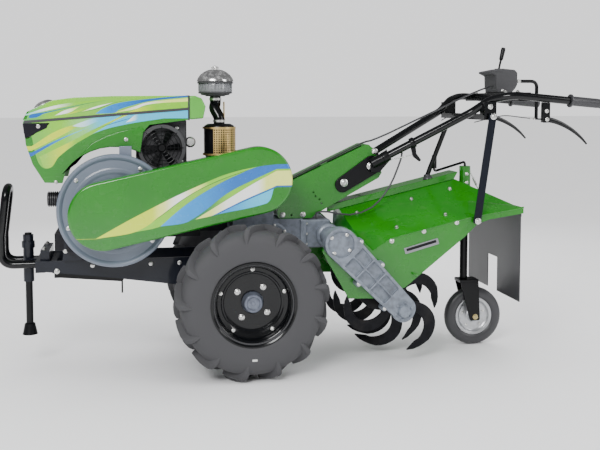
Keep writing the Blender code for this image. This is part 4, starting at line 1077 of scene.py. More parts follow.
class Copies:
    """Geometry nodes that repeat one piece: copy n is turned n times about Z and moved by n steps."""

    NAME = "repeated_piece"

    def __init__(self) -> None:
        """Builds the node group."""
        given = self.begin(Count="Int", Turn="Float", Step="Vector", Jitter="Float")
        number = self.add("GeometryNodeInputIndex").outputs[0]
        shake = self.add(
            "FunctionNodeRandomValue", {"data_type": "FLOAT"}, {2: -1.0, 3: 1.0, "Seed": given["Seed"]}
        )
        unevenness = self.add(
            "ShaderNodeMath", {"operation": "MULTIPLY"}, {0: shake.outputs[1], 1: given["Jitter"]}
        )
        turned = self.add(
            "ShaderNodeMath", {"operation": "MULTIPLY_ADD"},
            {0: number, 1: given["Turn"], 2: unevenness.outputs[0]}
        )
        moved = self.add("ShaderNodeVectorMath", {"operation": "SCALE"}, {0: given["Step"], "Scale": number})
        angles = self.add("ShaderNodeCombineXYZ", inputs={"Z": turned.outputs[0]})
        points = self.add(
            "GeometryNodePoints", inputs={"Count": given["Count"], "Position": moved.outputs[0]}
        )
        self.finish(given, points.outputs[0], Rotation=angles.outputs[0])

    def begin(self, **own: str) -> bpy.types.NodeInputs:
        """Starts the group with the inputs that all such groups have and its own, each with its kind.

        Args:
            own: The group's own inputs, each with its kind.

        Returns:
            The group's inputs as sockets.
        """
        self.group = bpy.data.node_groups.new(self.NAME, "GeometryNodeTree")
        shared = {"Base": "Geometry", "Prototype": "Object", **own, "Seed": "Int", "Finish": "Material"}
        for name, kind in shared.items():
            self.group.interface.new_socket(name, in_out="INPUT", socket_type="NodeSocket" + kind)
        self.group.interface.new_socket("Copies", in_out="OUTPUT", socket_type="NodeSocketGeometry")
        return self.add("NodeGroupInput").outputs

    def add(self, kind: str, settings: dict | None = None, inputs: dict | None = None) -> bpy.types.Node:
        """Adds a node.

        Args:
            kind: The node's type.
            settings: Its properties, set first.
            inputs: Its inputs by name or number: constants or sockets.

        Returns:
            The node.
        """
        node = self.group.nodes.new(kind)
        for key, value in (settings or {}).items():
            setattr(node, key, value)
        for key, value in (inputs or {}).items():
            if isinstance(value, bpy.types.NodeSocket):
                self.group.links.new(value, node.inputs[key])
            else:
                node.inputs[key].default_value = value
        return node

    def finish(self, given: bpy.types.NodeInputs, points: object, **placing: object) -> None:
        """Ends the tree: one piece on every point, placed as told, made real, in its finish.

        Args:
            given: The group's inputs as sockets.
            points: The points that pieces are set on.
            placing: What turns and scales each piece.
        """
        shown = self.add("GeometryNodeObjectInfo", inputs={"Object": given["Prototype"]}).outputs["Geometry"]
        inputs = {"Points": points, "Instance": shown, **placing}
        placed = self.add("GeometryNodeInstanceOnPoints", inputs=inputs)
        real = self.add("GeometryNodeRealizeInstances", inputs={0: placed.outputs[0]})
        dressed = self.add(
            "GeometryNodeSetMaterial", inputs={"Geometry": real.outputs[0], "Material": given["Finish"]}
        )
        self.add("NodeGroupOutput", inputs={0: dressed.outputs[0]})

    @classmethod
    def run(cls, name: str, base: bpy.types.Object, values: dict) -> bpy.types.Object:
        """Repeats a piece and settles the result as a plain mesh.

        Args:
            name: The new object's name.
            base: The object that carries the modifier.
            values: The group's inputs by name.

        Returns:
            The object.
        """
        group = bpy.data.node_groups.get(cls.NAME) or cls().group
        modifier = base.modifiers.new("copies", "NODES")
        modifier.node_group = group
        for item in group.interface.items_tree:
            if item.in_out == "INPUT" and item.name in values:
                modifier[item.identifier] = values[item.name]
        base.name = name
        return settle(base)

    @classmethod
    def of(
        cls, name: str, prototype: bpy.types.Object, count: int, look: Look, turn: float = 0.0,
        step: Place = (0.0, 0.0, 0.0), jitter: float = 0.0,
    ) -> bpy.types.Object:
        """Copies of a prototype, which is used up.

        Args:
            name: The new object's name.
            prototype: The piece that is repeated, placed from the origin.
            count: How many copies.
            look: Their finish.
            turn: The turn from copy to copy about Z, in radians.
            step: The move from copy to copy.
            jitter: How uneven the turns are, in radians.

        Returns:
            The copies as one object.
        """
        base = bpy.data.objects.new(name, bpy.data.meshes.new(name))
        show(base)
        values = {
            "Prototype": prototype, "Count": count, "Turn": turn, "Step": tuple(step), "Jitter": jitter,
            "Seed": 7, "Finish": look.material()
        }
        made = cls.run(name, base, values)
        drop(prototype)
        return made


class Fixings(Copies):
    """Geometry nodes that set a bolt head on every point, facing the way the point says."""

    NAME = "fixings_on_points"
    made: dict = {}

    def __init__(self) -> None:
        """Builds the node group."""
        given = self.begin()
        facing, size = (
            self.add("GeometryNodeInputNamedAttribute", {"data_type": kind}, {"Name": name}).outputs[0]
            for kind, name in (("FLOAT_VECTOR", "facing"), ("FLOAT", "size"))
        )
        aligned = self.add("FunctionNodeAlignRotationToVector", {"axis": "Z"}, {"Vector": facing})
        random = self.add(
            "FunctionNodeRandomValue", {"data_type": "FLOAT"}, {2: 0.0, 3: math.tau, "Seed": given["Seed"]}
        )
        spin = self.add(
            "FunctionNodeAxisAngleToRotation", inputs={"Axis": (0.0, 0.0, 1.0), "Angle": random.outputs[1]}
        )
        turned = self.add(
            "FunctionNodeRotateRotation", {"rotation_space": "LOCAL"},
            {0: aligned.outputs[0], 1: spin.outputs[0]}
        )
        self.finish(given, given["Base"], Rotation=turned.outputs[0], Scale=size)

    @classmethod
    def put(cls, body: str, look: Look, facing: Place, size: float, *places: Place) -> None:
        """Notes bolt heads to be made.

        Args:
            body: The body they move with.
            look: Their finish.
            facing: The way they face.
            size: The width across the head, in metres.
            places: Where they sit.
        """
        cls.made.setdefault((body, look), []).extend(
            (Vector(place), Vector(facing).normalized(), size) for place in places
        )

    @staticmethod
    def head() -> bpy.types.Object:
        """A hexagon head one unit wide on its washer, with the bolt's end standing out.

        Returns:
            The head.
        """
        washer = lathe(
            "washer", [(0.0, 0.1), (0.6, 0.1), (0.66, 0.06), (0.66, -0.1), (0.0, -0.1)], (0, 0, 0), steps=20
        )
        collar = lathe(
            "head", [(0.0, 0.62), (0.4, 0.62), (0.56, 0.52), (0.56, 0.05), (0.0, 0.05)], (0, 0, 0), steps=6
        )
        end = lathe(
            "end", [(0.0, 0.8), (0.2, 0.8), (0.26, 0.74), (0.26, 0.5), (0.0, 0.5)], (0, 0, 0), steps=12
        )
        return joined("head", [washer, collar, end])

    @classmethod
    def make(cls, shop: Workshop) -> None:
        """Makes every noted bolt head, one mesh for each body and finish.

        Args:
            shop: Where its pieces are dressed and hung on their bodies.
        """
        prototype = cls.head()
        for (body, look), noted in cls.made.items():
            name = "fixings_" + body + "_" + look.value.name
            mesh = bpy.data.meshes.new(name)
            mesh.from_pydata([place for place, _, _ in noted], [], [])
            facing = mesh.attributes.new("facing", "FLOAT_VECTOR", "POINT")
            facing.data.foreach_set("vector", [part for _, way, _ in noted for part in way])
            mesh.attributes.new("size", "FLOAT", "POINT").data.foreach_set(
                "value", [size for _, _, size in noted]
            )
            base = bpy.data.objects.new(name, mesh)
            show(base)
            made = cls.run(name, base, {"Prototype": prototype, "Seed": 11, "Finish": look.material()})
            shop.mount(made, body, look)
        drop(prototype)


# ---------------------------------------------------------------- workshop


class Workshop:
    """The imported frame, and the ways to place, refine and mount pieces on it."""

    def __init__(self, frame: dict) -> None:
        """Finds the wheel axle, from which places are given.
        """
        self.nodes = frame["nodes"]
        self.bodies = {
            node: body for body, nodes in frame["record"]["behaviour"]["bodies"].items() for node in nodes
        }
        low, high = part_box("tyre_left")
        self.axle = Vector(((low.x + high.x) / 2, 0.0, (low.z + high.z) / 2))

    def at(self, x: float, y: float, z: float) -> Vector:
        """The place x behind and z above the wheel axle, at y across."""
        return self.axle + Vector((x, y, z))

    def outline(self, points: Iterable[tuple[float, float]]) -> list[tuple[float, float]]:
        """An outline from the axle, moved into the row's frame."""
        return [(self.axle.x + x, self.axle.z + z) for x, z in points]

    def mount(self, obj: bpy.types.Object, body: str, look: Look, *replaced: str) -> bpy.types.Object:
        """Dresses a finished piece and hangs it on its body.

        Args:
            obj: The piece, with its mesh in place.
            body: The body it moves with.
            look: Its finish.
            replaced: The CAD nodes it stands for.

        Returns:
            The piece.
        """
        obj.data.materials.clear()
        obj.data.materials.append(look.material())
        for polygon in obj.data.polygons:
            polygon.material_index = 0
        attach(obj, body)
        if replaced:
            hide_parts(*replaced)
        LOG.info("%s on %s: %d faces", obj.name, body, len(obj.data.polygons))
        return obj

    def fix(self, obj: bpy.types.Object, look: Look, *replaced: str) -> bpy.types.Object:
        """Dresses a finished piece and fixes it to the machine itself."""
        return self.mount(obj, "machine", look, *replaced)

    def copy(self, node: str, bevel: float = 0.0, segments: int = 2, angle: float = 32.0) -> bpy.types.Object:
        """A merged copy of a CAD node, with its edges rounded.

        Args:
            node: The node.
            bevel: The rounding of its edges.
            segments: The steps of the rounding.
            angle: Edges sharper than this are rounded.

        Returns:
            The copy.
        """
        bm = bmesh.new()
        bm.from_mesh(self.nodes[node].data)
        bmesh.ops.remove_doubles(bm, verts=bm.verts, dist=0.00002)
        bmesh.ops.dissolve_limit(bm, angle_limit=math.radians(0.6), verts=bm.verts, edges=bm.edges)
        obj = piece("fine_" + node, bm)
        return soften(obj, bevel, segments, angle) if bevel else obj

    def refine(
        self, node: str, look: Look, bevel: float = 0.002, *cutters: bpy.types.Object
    ) -> bpy.types.Object:
        """Replaces a CAD node with its own shape, its edges rounded and its details cut.

        Args:
            node: The node.
            look: Its finish.
            bevel: The rounding of its edges.
            cutters: Solids to cut from it, which are used up.

        Returns:
            The piece.
        """
        obj = self.copy(node, 0.0 if cutters else bevel)
        if cutters:
            combined(obj, "DIFFERENCE", cutters)
            soften(obj, bevel, 2)
        return self.mount(obj, self.bodies[node], look, node)

    def surface(self, node: str, start: Vector, way: Vector) -> tuple[Vector, Vector]:
        """Where a ray meets a CAD node, and the way its surface faces there.

        Args:
            node: The node.
            start: Where the ray starts.
            way: The way it goes.

        Returns:
            The place, and the way the surface faces.
        """
        bm = bmesh.new()
        bm.from_mesh(self.nodes[node].data)
        place, normal, _, _ = BVHTree.FromBMesh(bm).ray_cast(start, way)
        bm.free()
        if place is None:
            raise ValueError(f"no surface of {node} lies that way")
        return place, normal if normal.dot(way) < 0 else -normal

    def bolts(self, facing: Place, size: float, *places: Vector) -> None:
        """Sets zinc bolt heads on the machine, all facing one way."""
        Fixings.put("machine", Look.ZINC, facing, size, *places)

    def bolt_on(self, node: str, x: float, y: float, way: Place, size: float = 0.012) -> None:
        """Sets a bolt head on a node's surface above or beside a place.

        Args:
            node: The node.
            x: How far behind the axle.
            y: How far across.
            way: The way from which the surface is met.
            size: The width across the head.
        """
        way = Vector(way)
        place, normal = self.surface(node, self.at(x, y, 0.3) - way * 0.8, way)
        Fixings.put(self.bodies[node], Look.ZINC, normal, size, place)


def baked(obj: bpy.types.Object, origin: Vector, axis: Place) -> bpy.types.Object:
    """Moves a mesh made round Z to its axis."""
    obj.data.transform(Matrix.Translation(origin) @ Vector(axis).to_track_quat("Z", "Y").to_matrix().to_4x4())
    return obj


# ---------------------------------------------------------------- wheels


@dataclass
class DriveWheel:
    """A drive wheel: lugged tyre, pressed rim, hub and its nuts."""

    side: str
    sign: int
    track: float = 0.35
    lugs: int = 13
    nuts: int = 4
    nut_circle: float = 0.075
    rim_bolts: int = 5
    rim_circle: float = 0.137
    carcass: tuple = (
        (0.1562, 0.05), (0.1562, 0.0575), (0.1605, 0.0645), (0.169, 0.0672), (0.1752, 0.0698), (0.18, 0.0735),
        (0.195, 0.076), (0.215, 0.0783), (0.24, 0.0788), (0.258, 0.0762), (0.274, 0.07), (0.285, 0.058),
        (0.291, 0.042), (0.2945, 0.02), (0.2955, 0.0),
    )
    rim: tuple = (
        (0.1745, 0.069), (0.1752, 0.0715), (0.17, 0.072), (0.164, 0.0685), (0.16, 0.06), (0.153, 0.056),
        (0.1495, 0.05), (0.1485, 0.026), (0.144, 0.0205), (0.13, 0.019), (0.1255, 0.015), (0.1195, 0.014),
        (0.1165, 0.01), (0.11, 0.0088), (0.06, 0.01), (0.045, 0.01), (0.045, 0.004), (0.11, 0.003),
        (0.128, -0.006), (0.1485, -0.011), (0.1495, -0.06), (0.164, -0.0685), (0.17, -0.072),
        (0.1752, -0.0715), (0.1745, -0.069), (0.16, -0.064), (0.1557, -0.058), (0.1557, 0.058), (0.16, 0.064),
    )
    hub: tuple = (
        (0.0, 0.0425), (0.007, 0.0425), (0.009, 0.0405), (0.024, 0.0405), (0.0275, 0.0455), (0.034, 0.046),
        (0.0378, 0.042), (0.038, 0.02), (0.04, 0.012), (0.043, 0.0035), (0.07, 0.0035), (0.07, -0.01),
        (0.04, -0.014), (0.04, -0.06), (0.022, -0.065), (0.022, -0.215), (0.0, -0.215),
    )

    def build(self, shop: Workshop) -> None:
        """Makes the wheel.

        Args:
            shop: Where its pieces are dressed and hung on their bodies.
        """
        body, centre, outward = self.side + "_wheel", shop.at(0.0, self.sign * self.track, 0.0), Vector(
            (0, self.sign, 0)
        )
        shoulder = [(point.x, point.z) for point in smoothed([(r, 0.0, z) for r, z in self.carcass], 2)]
        inner = [(0.276, 0.0), (0.27, 0.045), (0.24, 0.062), (0.19, 0.058)]
        half = shoulder[::-1][1:]
        section = shoulder + [(r, -z) for r, z in half] + [(r, -z) for r, z in reversed(inner)] + inner[1:]
        tyre = lathe("tyre_casing_" + self.side, section, centre, outward, 104)
        bars = []
        for flip in (1, -1):
            bar = self.lug(flip)
            turn = math.tau / self.lugs
            if flip < 0:
                bar.data.transform(Matrix.Rotation(turn / 2, 4, "Z"))
            bars.append(Copies.of("lugs", bar, self.lugs, Look.TYRE, turn, jitter=0.004))
        lugs = baked(joined("lugs", bars), centre, outward)
        shop.mount(joined("tyre_with_lugs_" + self.side, [tyre, lugs]), body, Look.TYRE, "tyre_" + self.side)
        shop.mount(
            lathe("pressed_rim_" + self.side, self.rim, centre, outward, 96, 0.0012), body, Look.BLACK,
            "rim_" + self.side
        )
        shop.mount(
            lathe("turned_hub_" + self.side, self.hub, centre, outward, 64, 0.001), body, Look.HUB,
            "hub_" + self.side
        )
        for count, radius, height, size, start in (
            (self.nuts, self.nut_circle, 0.0098, 0.019, 54.0),
            (self.rim_bolts, self.rim_circle, 0.0196, 0.013, 90.0),
        ):
            for x, z in circle((0.0, 0.0), radius, start, start + 360.0, count):
                Fixings.put(body, Look.ZINC, outward, size, centre + Vector((x, self.sign * height, z)))
        if self.sign < 0:
            label = slab(
                "blank_label", shop.at(-0.01, -0.4292, -0.226), shop.at(0.01, -0.4286, -0.218), 0.0002
            )
            shop.mount(label, body, Look.BLANK)

    def lug(self, flip: int) -> bpy.types.Object:
        """One tread lug round Z, from the middle of the tread down onto the sidewall.

        Args:
            flip: The side of the tread that it runs down, -1 or 1.

        Returns:
            The lug.
        """
        # Each row: angle, top radius, top across, base radius, base across, half width at top and at base.
        stations = (
            (-1.0, 0.319, -0.004, 0.286, -0.004, 0.0085, 0.013),
            (3.0, 0.3192, 0.018, 0.286, 0.016, 0.009, 0.014),
            (7.0, 0.3185, 0.038, 0.28, 0.032, 0.01, 0.016),
            (10.5, 0.314, 0.056, 0.272, 0.046, 0.011, 0.018),
            (12.5, 0.305, 0.0705, 0.264, 0.058, 0.011, 0.0185),
            (13.5, 0.29, 0.079, 0.256, 0.064, 0.01, 0.0165),
            (14.0, 0.274, 0.082, 0.25, 0.068, 0.0075, 0.0125),
            (14.3, 0.259, 0.0816, 0.244, 0.07, 0.0045, 0.0085),
            (14.4, 0.246, 0.078, 0.24, 0.072, 0.002, 0.0045),
        )
        bm = bmesh.new()
        rows = []
        for degrees, top, top_z, base, base_z, narrow, wide in stations:
            row = []
            for radius, z, shift in (
                (base, base_z, -wide), (top, top_z, -narrow), (top, top_z, narrow), (base, base_z, wide)
            ):
                angle = math.radians(degrees) + shift / radius
                row.append(bm.verts.new((radius * math.cos(angle), radius * math.sin(angle), flip * z)))
            rows.append(row)
        for first, second in zip(rows, rows[1:]):
            bridge(bm, first, second)
        bm.faces.new(rows[0])
        bm.faces.new(rows[-1])
        return soften(piece("lug", bm, 30.0), 0.0026, 2, 28.0)


@dataclass
class TailWheel:
    """The tail wheel with its fork, column, sleeve and crank."""

    x: float = 1.085
    z: float = -0.185
    column_x: float = 1.04
    fork: float = 0.034
    tyre: tuple = (
        (0.0885, 0.016), (0.089, 0.02), (0.093, 0.0232), (0.102, 0.0258), (0.112, 0.026), (0.121, 0.0246),
        (0.128, 0.0205), (0.1325, 0.015), (0.1338, 0.0112), (0.1318, 0.0104), (0.1318, 0.0088),
        (0.1343, 0.008),
        (0.135, 0.003), (0.133, 0.002),
    )
    rim: tuple = (
        (0.024, 0.029), (0.024, 0.012), (0.032, 0.006), (0.066, 0.006), (0.071, 0.01), (0.076, 0.0165),
        (0.085, 0.0195), (0.0876, 0.0195),
    )

    def build(self, shop: Workshop) -> None:
        """Makes the wheel and what carries it.

        Args:
            shop: Where its pieces are dressed and hung on their bodies.
        """
        centre, across = shop.at(self.x, 0.0, self.z), Vector((0.0, -1.0, 0.0))
        tyre = [*self.tyre, *((r, -z) for r, z in reversed(self.tyre))]
        shop.mount(
            lathe("grooved_tail_tyre", tyre, centre, across, 96), "tail_wheel", Look.RUBBER, "tail_tyre"
        )
        rim = [*self.rim, *((r, -z) for r, z in reversed(self.rim)), (0.0088, -0.029), (0.0088, 0.029)]
        shop.mount(
            lathe("pressed_tail_rim", rim, centre, across, 80, 0.0012), "tail_wheel", Look.SILVER,
            "tail_rim"
        )
        for x, z in circle((0.0, 0.0), 0.053, 20.0, 380.0, 5):
            Fixings.put("tail_wheel", Look.ZINC, across, 0.009, centre + Vector((x, -0.0062, z)))
        _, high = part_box("tail_leg")
        crown = centre.z + 0.165
        top = shop.at(self.column_x, 0.0, 0.0)
        column = lathe(
            "column", [(0.0, high.z - crown), (0.018, high.z - crown), (0.018, 0.0), (0.0, 0.0)],
            (top.x, 0.0, crown), steps=48, fillet=0.002
        )
        plates = [
            slab("crown", (top.x - 0.03, -0.04, crown - 0.004), (top.x + 0.06, 0.04, crown + 0.01), 0.002)
        ]
        for sign in (-1, 1):
            sides = sorted((sign * self.fork, sign * (self.fork + 0.006)))
            blade = [
                (top.x - 0.028, crown), (top.x + 0.06, crown), (centre.x + 0.024, centre.z - 0.018),
                (centre.x - 0.024, centre.z - 0.018)
            ]
            plates.append(prism("fork", blade, *sides, 0.0012, 0.01))
        pin = sweep("pin", (centre - across * 0.048, centre + across * 0.048), 0.008, 24)
        shop.mount(joined("tail_fork", [column, *plates, pin]), "tail_column", Look.SATIN, "tail_leg")
        for sign in (-1, 1):
            Fixings.put(
                "tail_column", Look.BRASS, (0, sign, 0), 0.019,
                centre + Vector((0, sign * (self.fork + 0.0062), 0))
            )
        shop.refine("tail_sleeve", Look.GREEN, 0.0015)
        shop.refine("tail_crank", Look.BLACK, 0.001)
        for z in (0.44, 0.48):
            shop.bolts((0, -1, 0), 0.012, shop.at(self.column_x, -0.0262, z))


# ---------------------------------------------------------------- front


@dataclass
class Front:
    """The front frame, the bumper, the sliding stand and the folding leg."""

    bumper_radius: float = 0.017
    bumper: tuple = ((-0.8703, 0.132), (-1.013, 0.132), (-1.013, 0.252), (-0.987, 0.452))

    def build(self, shop: Workshop) -> None:
        """Makes the front pieces.

        Args:
            shop: Where its pieces are dressed and hung on their bodies.
        """
        near = [shop.at(x, -0.06, z) for x, z in self.bumper]
        loop = near + [Vector((p.x, -p.y, p.z)) for p in reversed(near)]
        shop.fix(
            sweep("bumper_loop", filleted(loop, 0.055, 10), self.bumper_radius, 28), Look.BLACK,
            "front_bumper"
        )
        shop.refine("front_frame", Look.FRAME, 0.0022)
        low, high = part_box("front_stand")
        x, foot = (low.x + high.x) / 2, low.z
        stand = [
            (0.0, high.z), (0.0135, high.z), (0.015, high.z - 0.002), (0.015, foot + 0.05),
            (0.022, foot + 0.045), (0.03, foot + 0.006), (0.032, foot), (0.0, foot)
        ]
        shop.mount(
            lathe("stand_tube", stand, (x, 0.0, 0.0), steps=48), "parking_stand", Look.SATIN, "front_stand"
        )
        shop.refine("stand_sleeve", Look.FRAME, 0.0015)
        shop.refine("prop_leg", Look.SATIN, 0.0015)
        for x in (-0.747, -0.7):
            shop.bolts((0, -1, 0), 0.016, shop.at(x, -0.1505, 0.198))
        shop.bolts((0, -1, 0), 0.017, shop.at(-0.784, -0.136, 0.112))
        for x in (-0.64, -0.52, -0.4, -0.28):
            for sign in (-1, 1):
                shop.bolts((0, sign, 0), 0.014, shop.at(x, sign * 0.1356, 0.132))
        plate = prism(
            "mount_plate", shop.outline([(-0.76, 0.158), (-0.68, 0.158), (-0.68, 0.262), (-0.748, 0.27)]),
            -0.156, -0.1505, 0.0014, 0.006
        )
        shop.fix(plate, Look.FRAME)
        shop.bolts((0, 0, 1), 0.016, shop.at(-0.838, -0.08, 0.195), shop.at(-0.838, 0.08, 0.195))


# ---------------------------------------------------------------- engine and drive


@dataclass
class Engine:
    """The engine block with its ribs, the radiator with its fan, the guard and the belt drive."""

    crank: tuple = (-0.545, 0.37)
    clutch: tuple = (0.037, 0.491)
    guard_radius: float = 0.23
    cover_radius: float = 0.138

    def build(self, shop: Workshop) -> None:
        """Makes the engine's pieces.

        Args:
            shop: Where its pieces are dressed and hung on their bodies.
        """
        shop.refine("engine_block", Look.ENGINE, 0.005)
        fin = slab("fin", shop.at(-0.735, 0.112, 0.22), shop.at(-0.729, 0.13, 0.415), 0.0015)
        shop.fix(Copies.of("crankcase_ribs", fin, 8, Look.ENGINE, step=(0.042, 0, 0)), Look.ENGINE)
        ring = lathe(
            "ring", [(0.0282, -0.003), (0.033, -0.0015), (0.033, 0.0015), (0.0282, 0.003)], (0, 0, 0),
            steps=40
        )
        hose = baked(
            Copies.of("hose_rings", ring, 9, Look.RUBBER, step=(0, 0, 0.0085)),
            shop.at(-0.748, -0.06, 0.405), (-1, 0, 0)
        )
        shop.fix(hose, Look.RUBBER)
        cover = slab("rocker_cover", shop.at(-0.0755, -0.09, 0.3), shop.at(-0.04, 0.09, 0.5), 0.01)
        shop.fix(cover, Look.SATIN)
        for y, z in ((-0.07, 0.32), (0.07, 0.32), (-0.07, 0.48), (0.07, 0.48)):
            shop.bolts((1, 0, 0), 0.013, shop.at(-0.0402, y, z))
        for x, z in ((-0.4, 0.27), (-0.4, 0.49), (-0.22, 0.27), (-0.22, 0.49)):
            shop.bolts((0, 1, 0), 0.015, shop.at(x, 0.1005, z))
        starter = lathe(
            "starter_boss", [(0.0, 0.03), (0.045, 0.03), (0.056, 0.02), (0.06, 0.0), (0.0, 0.0)],
            shop.at(-0.6, 0.1195, 0.33), (0, 1, 0), 48, 0.003
        )
        shop.fix(starter, Look.ENGINE)
        self.radiator(shop)
        self.guard(shop)
        self.belt_cover(shop)
        for node in ("engine_pulley", "clutch_pulley"):
            shop.refine(node, Look.PULLEY, 0.0012)
        shop.refine("drive_belt", Look.RUBBER, 0.001)
        shop.refine("fuel_tank", Look.MOULDING, 0.012)

    def radiator(self, shop: Workshop) -> None:
        """The radiator core, its cowl and the guard rings in front of the fan.

        Args:
            shop: Where its pieces are dressed and hung on their bodies.
        """
        shop.refine("radiator", Look.MOULDING, 0.002)
        middle = shop.at(-0.35, -0.166, 0.62)
        rings = [
            lathe(
                "ring",
                [
                    (point.x, point.z)
                    for point in (
                        Vector((r + 0.0016 * math.cos(a), 0, 0.0016 * math.sin(a)))
                        for a in (k * math.tau / 8 for k in range(8))
                    )
                ],
                middle, (0, -1, 0), 64
            )
            for r in (0.02, 0.036, 0.052, 0.068, 0.082)
        ]
        spoke = sweep("spoke", ((0.018, 0, 0), (0.09, 0, 0)), 0.0017, 10)
        spokes = baked(Copies.of("spokes", spoke, 8, Look.SATIN, math.tau / 8), middle, (0, -1, 0))
        shop.fix(joined("fan_guard", [*rings, spokes]), Look.SATIN)
        blade = prism(
            "blade",
            [
                (0.014, -0.001), (0.03, -0.012), (0.074, -0.022), (0.078, 0.01), (0.03, 0.012),
                (0.014, 0.006)
            ],
            -0.0015, 0.0015, 0.0006, 0.006
        )
        blade.data.transform(Matrix.Rotation(0.45, 4, "X"))
        blade.data.transform(Matrix.Rotation(math.pi / 2, 4, "X"))
        hub = lathe(
            "fan_hub", [(0.0, 0.012), (0.014, 0.012), (0.018, 0.006), (0.018, -0.008), (0.0, -0.008)],
            (0, 0, 0), steps=32
        )
        fan = joined("cooling_fan", [Copies.of("blades", blade, 6, Look.SATIN, math.tau / 6), hub])
        shop.fix(baked(fan, middle + Vector((0, 0.022, 0)), (0, -1, 0)), Look.SATIN)
        for x, z in ((-0.286, 0.701), (-0.268, 0.56), (-0.432, 0.701), (-0.432, 0.545)):
            shop.bolts((0, -1, 0), 0.012, shop.at(x, -0.1202, z))
        cap = lathe(
            "water_cap", [(0.0, 0.018), (0.016, 0.018), (0.022, 0.01), (0.024, 0.0), (0.0, 0.0)],
            shop.at(-0.228, -0.08, 0.64), (0, -1, 0), 40, 0.002
        )
        shop.fix(cap, Look.STEEL)

    def guard(self, shop: Workshop) -> None:
        """The dished flywheel guard with its tab.

        Args:
            shop: Where its pieces are dressed and hung on their bodies.
        """
        radius = self.guard_radius
        profile = [
            (0.0, 0.034), (0.148, 0.034), (0.158, 0.0375), (0.17, 0.0375), (0.176, 0.035), (0.206, 0.035),
            (0.212, 0.041),
            (0.218, 0.0448), (0.226, 0.044), (0.23, 0.038), (radius, 0.004), (radius - 0.003, 0.004),
            (radius - 0.004, 0.034),
            (0.206, 0.031), (0.15, 0.03), (0.06, 0.03), (0.06, 0.0), (0.0, 0.0),
        ]
        disc = lathe(
            "guard_disc", profile, shop.at(self.crank[0], -0.2, self.crank[1]), (0, -1, 0), 120, 0.0015
        )
        tab = slab("guard_tab", shop.at(-0.524, -0.214, 0.588), shop.at(-0.474, -0.2095, 0.632), 0.0012)
        shop.fix(joined("round_guard", [disc, tab]), Look.GUARD, "flywheel_guard")
        shop.bolts((0, -1, 0), 0.013, shop.at(-0.441, -0.2352, 0.5395))
        for degrees in (140.0, 200.0, 320.0):
            x, z = circle(self.crank, 0.196, degrees, degrees, 1)[0]
            shop.bolts((0, -1, 0), 0.013, shop.at(x, -0.2352, z))

    def belt_cover(self, shop: Workshop) -> None:
        """The hollow belt cover with its rounded rim.

        Args:
            shop: Where its pieces are dressed and hung on their bodies.
        """
        low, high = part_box("belt_cover")
        left = (self.crank[0] - 0.044, self.crank[1] - 0.013)
        shell = prism(
            "belt_shell",
            shop.outline(capsule(left, self.cover_radius, self.clutch, self.cover_radius, 44)), low.y,
            high.y
        )
        soften(shell, 0.011, 5, 60.0)
        hollow = prism(
            "hollow",
            shop.outline(
                capsule(left, self.cover_radius - 0.0025, self.clutch, self.cover_radius - 0.0025, 44)
            ),
            low.y + 0.0025, high.y + 0.02
        )
        soften(hollow, 0.009, 3, 60.0)
        combined(shell, "DIFFERENCE", [hollow])
        shell.modifiers.new("light", "WEIGHTED_NORMAL").keep_sharp = True
        shop.fix(settle(shell), Look.COVER, "belt_cover")


